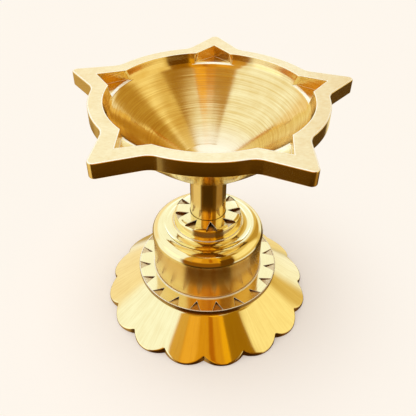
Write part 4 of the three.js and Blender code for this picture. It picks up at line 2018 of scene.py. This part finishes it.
@dataclass
class View:
    """The camera.

    Attributes:
        lens: focal length, in millimetres, on a sensor 36 mm wide.
        aim: height of the point that it looks at, on the lamp's axis.
        distance: from that point to the camera.
        elevation: how far it looks down.
        azimuth: how far round from the front it stands.
        roll: how far it leans.
    """

    lens: float = 502.5 / 416 * SENSOR
    aim: float = 41.73
    distance: float = 188.49
    elevation: float = 0.686
    azimuth: float = 0.04
    roll: float = 0.013

    def build(self) -> bpy.types.Object:
        """Makes the camera.

        Returns:
            The camera.
        """
        data = bpy.data.cameras.new("camera")
        data.sensor_width = SENSOR
        data.lens = self.lens
        data.clip_start = 0.01
        camera = bpy.data.objects.new("camera", data)
        bpy.context.scene.collection.objects.link(camera)
        forward = Vector((0, math.cos(self.elevation), -math.sin(self.elevation)))
        right = Vector((1, 0, 0))
        up = right.cross(forward)
        leaning_right = right * math.cos(self.roll) + up * math.sin(self.roll)
        leaning_up = up * math.cos(self.roll) - right * math.sin(self.roll)
        turn = Matrix.Rotation(self.azimuth, 3, "Z")
        axes = Matrix((turn @ leaning_right, turn @ leaning_up, turn @ -forward)).transposed()
        aim = AXIS + Vector((0, 0, self.aim * MM))
        place = aim - (turn @ forward) * self.distance * MM
        camera.matrix_world = Matrix.Translation(place) @ axes.to_4x4()
        bpy.context.scene.camera = camera
        return camera


@dataclass(frozen=True)
class Panel:
    """A soft-edged panel of the studio round the lamp, as the metal sees it.

    Attributes:
        name: what it is.
        left: its left edge, in degrees round from the front, positive to the right.
        right: its right edge.
        low: its lower edge, in degrees above the horizon.
        high: its upper edge.
        colour: its light, linear.
        soft: the width of its soft sides, in degrees.
        fade: the width of its soft upper and lower edges, in degrees.
    """

    name: str
    left: float
    right: float
    low: float
    high: float
    colour: Colour
    soft: float = 6.0
    fade: float = 6.0


SOFTBOX = (1.06, 1.12, 1.22)
PAPER = (0.982, 0.921, 0.838)
FLOOR = (0.955, 0.885, 0.805)
FILL = (0.62, 0.595, 0.56)

PANELS: tuple[Panel, ...] = (
    Panel("bright window behind on the right", 166, 200, 31, 37, (1.3, 1.65, 2.3), 10, 4),
    Panel("bright window behind on the left", -200, -166, 31, 37, (1.3, 1.65, 2.3), 10, 4),
    Panel("bright window on the left", -86, -50, 6, 23, (1.35, 1.36, 1.36), 8, 6),
    Panel("golden wall on the right", 28, 165, -18, 64, (0.79, 0.56, 0.19), 12, 12),
    Panel("brown beam on the right", 26, 77, 44, 60, (0.43, 0.22, 0.022), 8, 5),
    Panel("window on the right", 56, 112, 2, 45, (1.08, 0.92, 0.50), 9, 8),
    Panel("brown post at its side", 117, 150, 15, 54, (0.56, 0.33, 0.06), 8, 8),
    Panel("pale wall far right", 128, 200, -22, 12, (1.05, 1.05, 1.02), 10, 8),
    Panel("cream wall far left", -200, -106, -16, 20, (1.02, 0.88, 0.66), 16, 12),
    Panel("amber wall in front", -41, 30, 8, 67, (0.73, 0.325, 0.013), 5, 5),
    Panel("gold edge of the wall", -41, -27, 8, 67, (0.72, 0.40, 0.07), 5, 6),
    Panel("lit part of the wall", -26, -9, 20, 55, (0.90, 0.45, 0.045), 4, 8),
    Panel("shaded top of the wall", -44, -8, 57, 67.5, (0.53, 0.29, 0.04), 10, 5),
    Panel("gap in the wall", 6, 12.5, 20, 56, (0.48, 0.14, 0.003), 2.5, 8),
    Panel("lamp on the wall", 9, 26, 54, 68, (0.95, 0.48, 0.02), 6, 4),
    Panel("brown skirting in front", -45, 45, -30, 12, (0.28, 0.10, 0.005), 10, 10),
    Panel("lit jamb of the doorway", 23, 31, 8, 54, (0.90, 0.44, 0.01), 3, 8),
    Panel("doorway", 30.5, 56, 30, 52, (0.36, 0.16, 0.004), 2.5, 6),
    Panel("dark doorway below", 26, 52, -28, 31, (0.14, 0.05, 0.002), 3, 6),
    Panel("gold floor on the left", -108, -38, -90, -26, (0.86, 0.66, 0.31), 10, 6),
    Panel("brown floor behind on the left", -200, -104, -90, -19, (0.58, 0.39, 0.14), 14, 6),
    Panel("dark end of that floor", -200, -135, -62, -29, (0.24, 0.13, 0.022), 10, 6),
    Panel("olive floor on the right", 48, 116, -90, -26, (0.36, 0.19, 0.035), 10, 6),
    Panel("brown floor behind on the right", 103, 200, -90, -13, (0.10, 0.052, 0.012), 8, 6),
    Panel("gold floor far behind on the right", 148, 200, -34, -13, (0.95, 0.78, 0.42), 10, 6),
    Panel("dark floor in front", -45, 56, -90, -26, (0.105, 0.045, 0.003), 12, 6),
    Panel("darker middle of that floor", -29, 32, -45, -36, (0.018, 0.008, 0.001), 8, 2.5),
)


@dataclass
class Studio:
    """The floor, the lamp, and the light panels that the brass reflects.

    Attributes:
        evenness: the share of the floor at the foot that is seen evenly lit; the rest takes
            the shadow.
        far_evenness: the same share far from the foot.
        near: how far from the axis the first share reaches.
        far: from where on the second one holds.
        lamp_azimuth: where the lamp stands, in degrees round from the front, positive to the right.
        lamp_elevation: how high it stands, in degrees.
        lamp_width: how wide it is, in degrees.
        lamp_strength: its light on a surface that faces it.
        lamp_colour: its colour, linear.
    """

    evenness: float = 0.15
    far_evenness: float = 0.85
    near: float = 44.0
    far: float = 92.0
    lamp_azimuth: float = -80
    lamp_elevation: float = 79
    lamp_width: float = 65
    lamp_strength: float = 1.6
    lamp_colour: Colour = (0.97, 1.0, 1.06)

    def floor(self) -> bpy.types.Object:
        """Makes the plain pale floor.

        Returns:
            The floor.
        """
        work = bmesh.new()
        bmesh.ops.create_grid(work, x_segments=1, y_segments=1, size=3.0)
        mesh = bpy.data.meshes.new("floor")
        work.to_mesh(mesh)
        work.free()
        floor = bpy.data.objects.new("floor", mesh)
        bpy.context.scene.collection.objects.link(floor)
        material = bpy.data.materials.new("floor_paper")
        maker = Shader(material)
        maker.shader.inputs["Base Color"].default_value = (*FLOOR, 1)
        maker.shader.inputs["Roughness"].default_value = 0.9
        maker.shader.inputs["Specular IOR Level"].default_value = 0.0
        plain_light = maker.node("ShaderNodeEmission", {"Color": (*PAPER, 1), "Strength": 1.0})
        path = maker.node("ShaderNodeLightPath")
        place = maker.node("ShaderNodeTexCoord").outputs["Object"]
        away = maker.vector("LENGTH", maker.vector("SUBTRACT", place, tuple(AXIS)).outputs[0])
        even = maker.map_range(away.outputs["Value"], self.near * MM, self.far * MM,
                               self.evenness, self.far_evenness)
        share = maker.math("MULTIPLY", path.outputs["Is Camera Ray"], even)
        mixed = maker.node("ShaderNodeMixShader", {
            0: share, 1: maker.shader.outputs[0], 2: plain_light.outputs[0],
        })
        maker.tree.links.new(mixed.outputs[0], maker.tree.nodes["Material Output"].inputs[0])
        mesh.materials.append(material)
        floor.visible_glossy = False
        return floor

    def lamp(self) -> None:
        """Adds the distant soft lamp, which the metal doesn't reflect."""
        data = bpy.data.lights.new("key_lamp", "SUN")
        data.angle = math.radians(self.lamp_width)
        data.energy = self.lamp_strength
        data.color = self.lamp_colour
        lamp = bpy.data.objects.new("key_lamp", data)
        bpy.context.scene.collection.objects.link(lamp)
        round_, up = math.radians(self.lamp_azimuth), math.radians(self.lamp_elevation)
        place = Vector((math.sin(round_) * math.cos(up), -math.cos(round_) * math.cos(up),
                        math.sin(up)))
        lamp.location = place
        lamp.rotation_euler = (-place).to_track_quat("-Z", "Y").to_euler()
        lamp.visible_glossy = False

    def world(self) -> None:
        """Makes the world: pale behind the lamp, and the panels where the metal looks."""
        world = bpy.data.worlds.new("studio")
        bpy.context.scene.world = world
        world.use_nodes = True
        world.cycles.sampling_method = "NONE"
        tree = world.node_tree
        tree.nodes.clear()
        maker = Nodes(tree)
        direction = maker.node("ShaderNodeTexCoord").outputs["Generated"]
        parts = maker.node("ShaderNodeSeparateXYZ", {0: direction})
        across, back, up = parts.outputs[0], parts.outputs[1], parts.outputs[2]
        azimuth = maker.math("ARCTAN2", across, maker.math("MULTIPLY", back, -1.0))
        azimuth = maker.math("MULTIPLY", azimuth, 180 / math.pi)
        elevation = maker.math("MULTIPLY", maker.math("ARCSINE", up), 180 / math.pi)
        seen: object = (*SOFTBOX, 1)
        for panel in PANELS:
            share = maker.math("MULTIPLY",
                               self.band(maker, azimuth, panel.left, panel.right, panel.soft),
                               self.band(maker, elevation, panel.low, panel.high, panel.fade))
            seen = maker.mix(share, seen, (*panel.colour, 1))
        path = maker.node("ShaderNodeLightPath")
        fill = maker.mix(path.outputs["Is Glossy Ray"], (*FILL, 1), seen)
        shown = maker.mix(path.outputs["Is Camera Ray"], fill, (*PAPER, 1))
        background = maker.node("ShaderNodeBackground", {"Color": shown, "Strength": 1.0})
        output = maker.node("ShaderNodeOutputWorld")
        tree.links.new(background.outputs[0], output.inputs[0])

    def band(self, maker: Nodes, value: Socket, low: float, high: float,
             soft: float) -> Socket:
        """A soft-edged band of a value, one inside and nothing outside.

        Args:
            maker: the tree in the making.
            value: the value.
            low: where the band begins.
            high: where it ends.
            soft: the width of its soft ends.

        Returns:
            The band's value.
        """
        away = maker.math("ABSOLUTE", maker.math("SUBTRACT", value, (low + high) / 2))
        half = (high - low) / 2
        made = maker.node("ShaderNodeMapRange", {
            "Value": away, "From Min": half - soft / 2, "From Max": half + soft / 2,
            "To Min": 1.0, "To Max": 0.0,
        }, interpolation_type="SMOOTHSTEP")
        return made.outputs[0]

    def build(self) -> None:
        """Makes the whole studio."""
        self.floor()
        self.world()
        self.lamp()
        settings = bpy.context.scene.view_settings
        settings.view_transform = "Standard"


def main() -> None:
    """Builds the camera, the lamp's pieces in order, and the studio."""
    logging.basicConfig(level=logging.INFO, format="%(message)s")
    View().build()
    wardrobe = Wardrobe()
    StarBowl().build(wardrobe)
    Stem().build(wardrobe)
    NotchedCollar().build(wardrobe)
    Drum().build(wardrobe)
    FootRing().build(wardrobe)
    ScallopedSkirt().build(wardrobe)
    fasteners = Fasteners()
    fasteners.flat_washer(wardrobe)
    fasteners.spring_washer(wardrobe)
    fasteners.bolt(wardrobe)
    Studio().build()


if __name__ == "__main__":
    main()
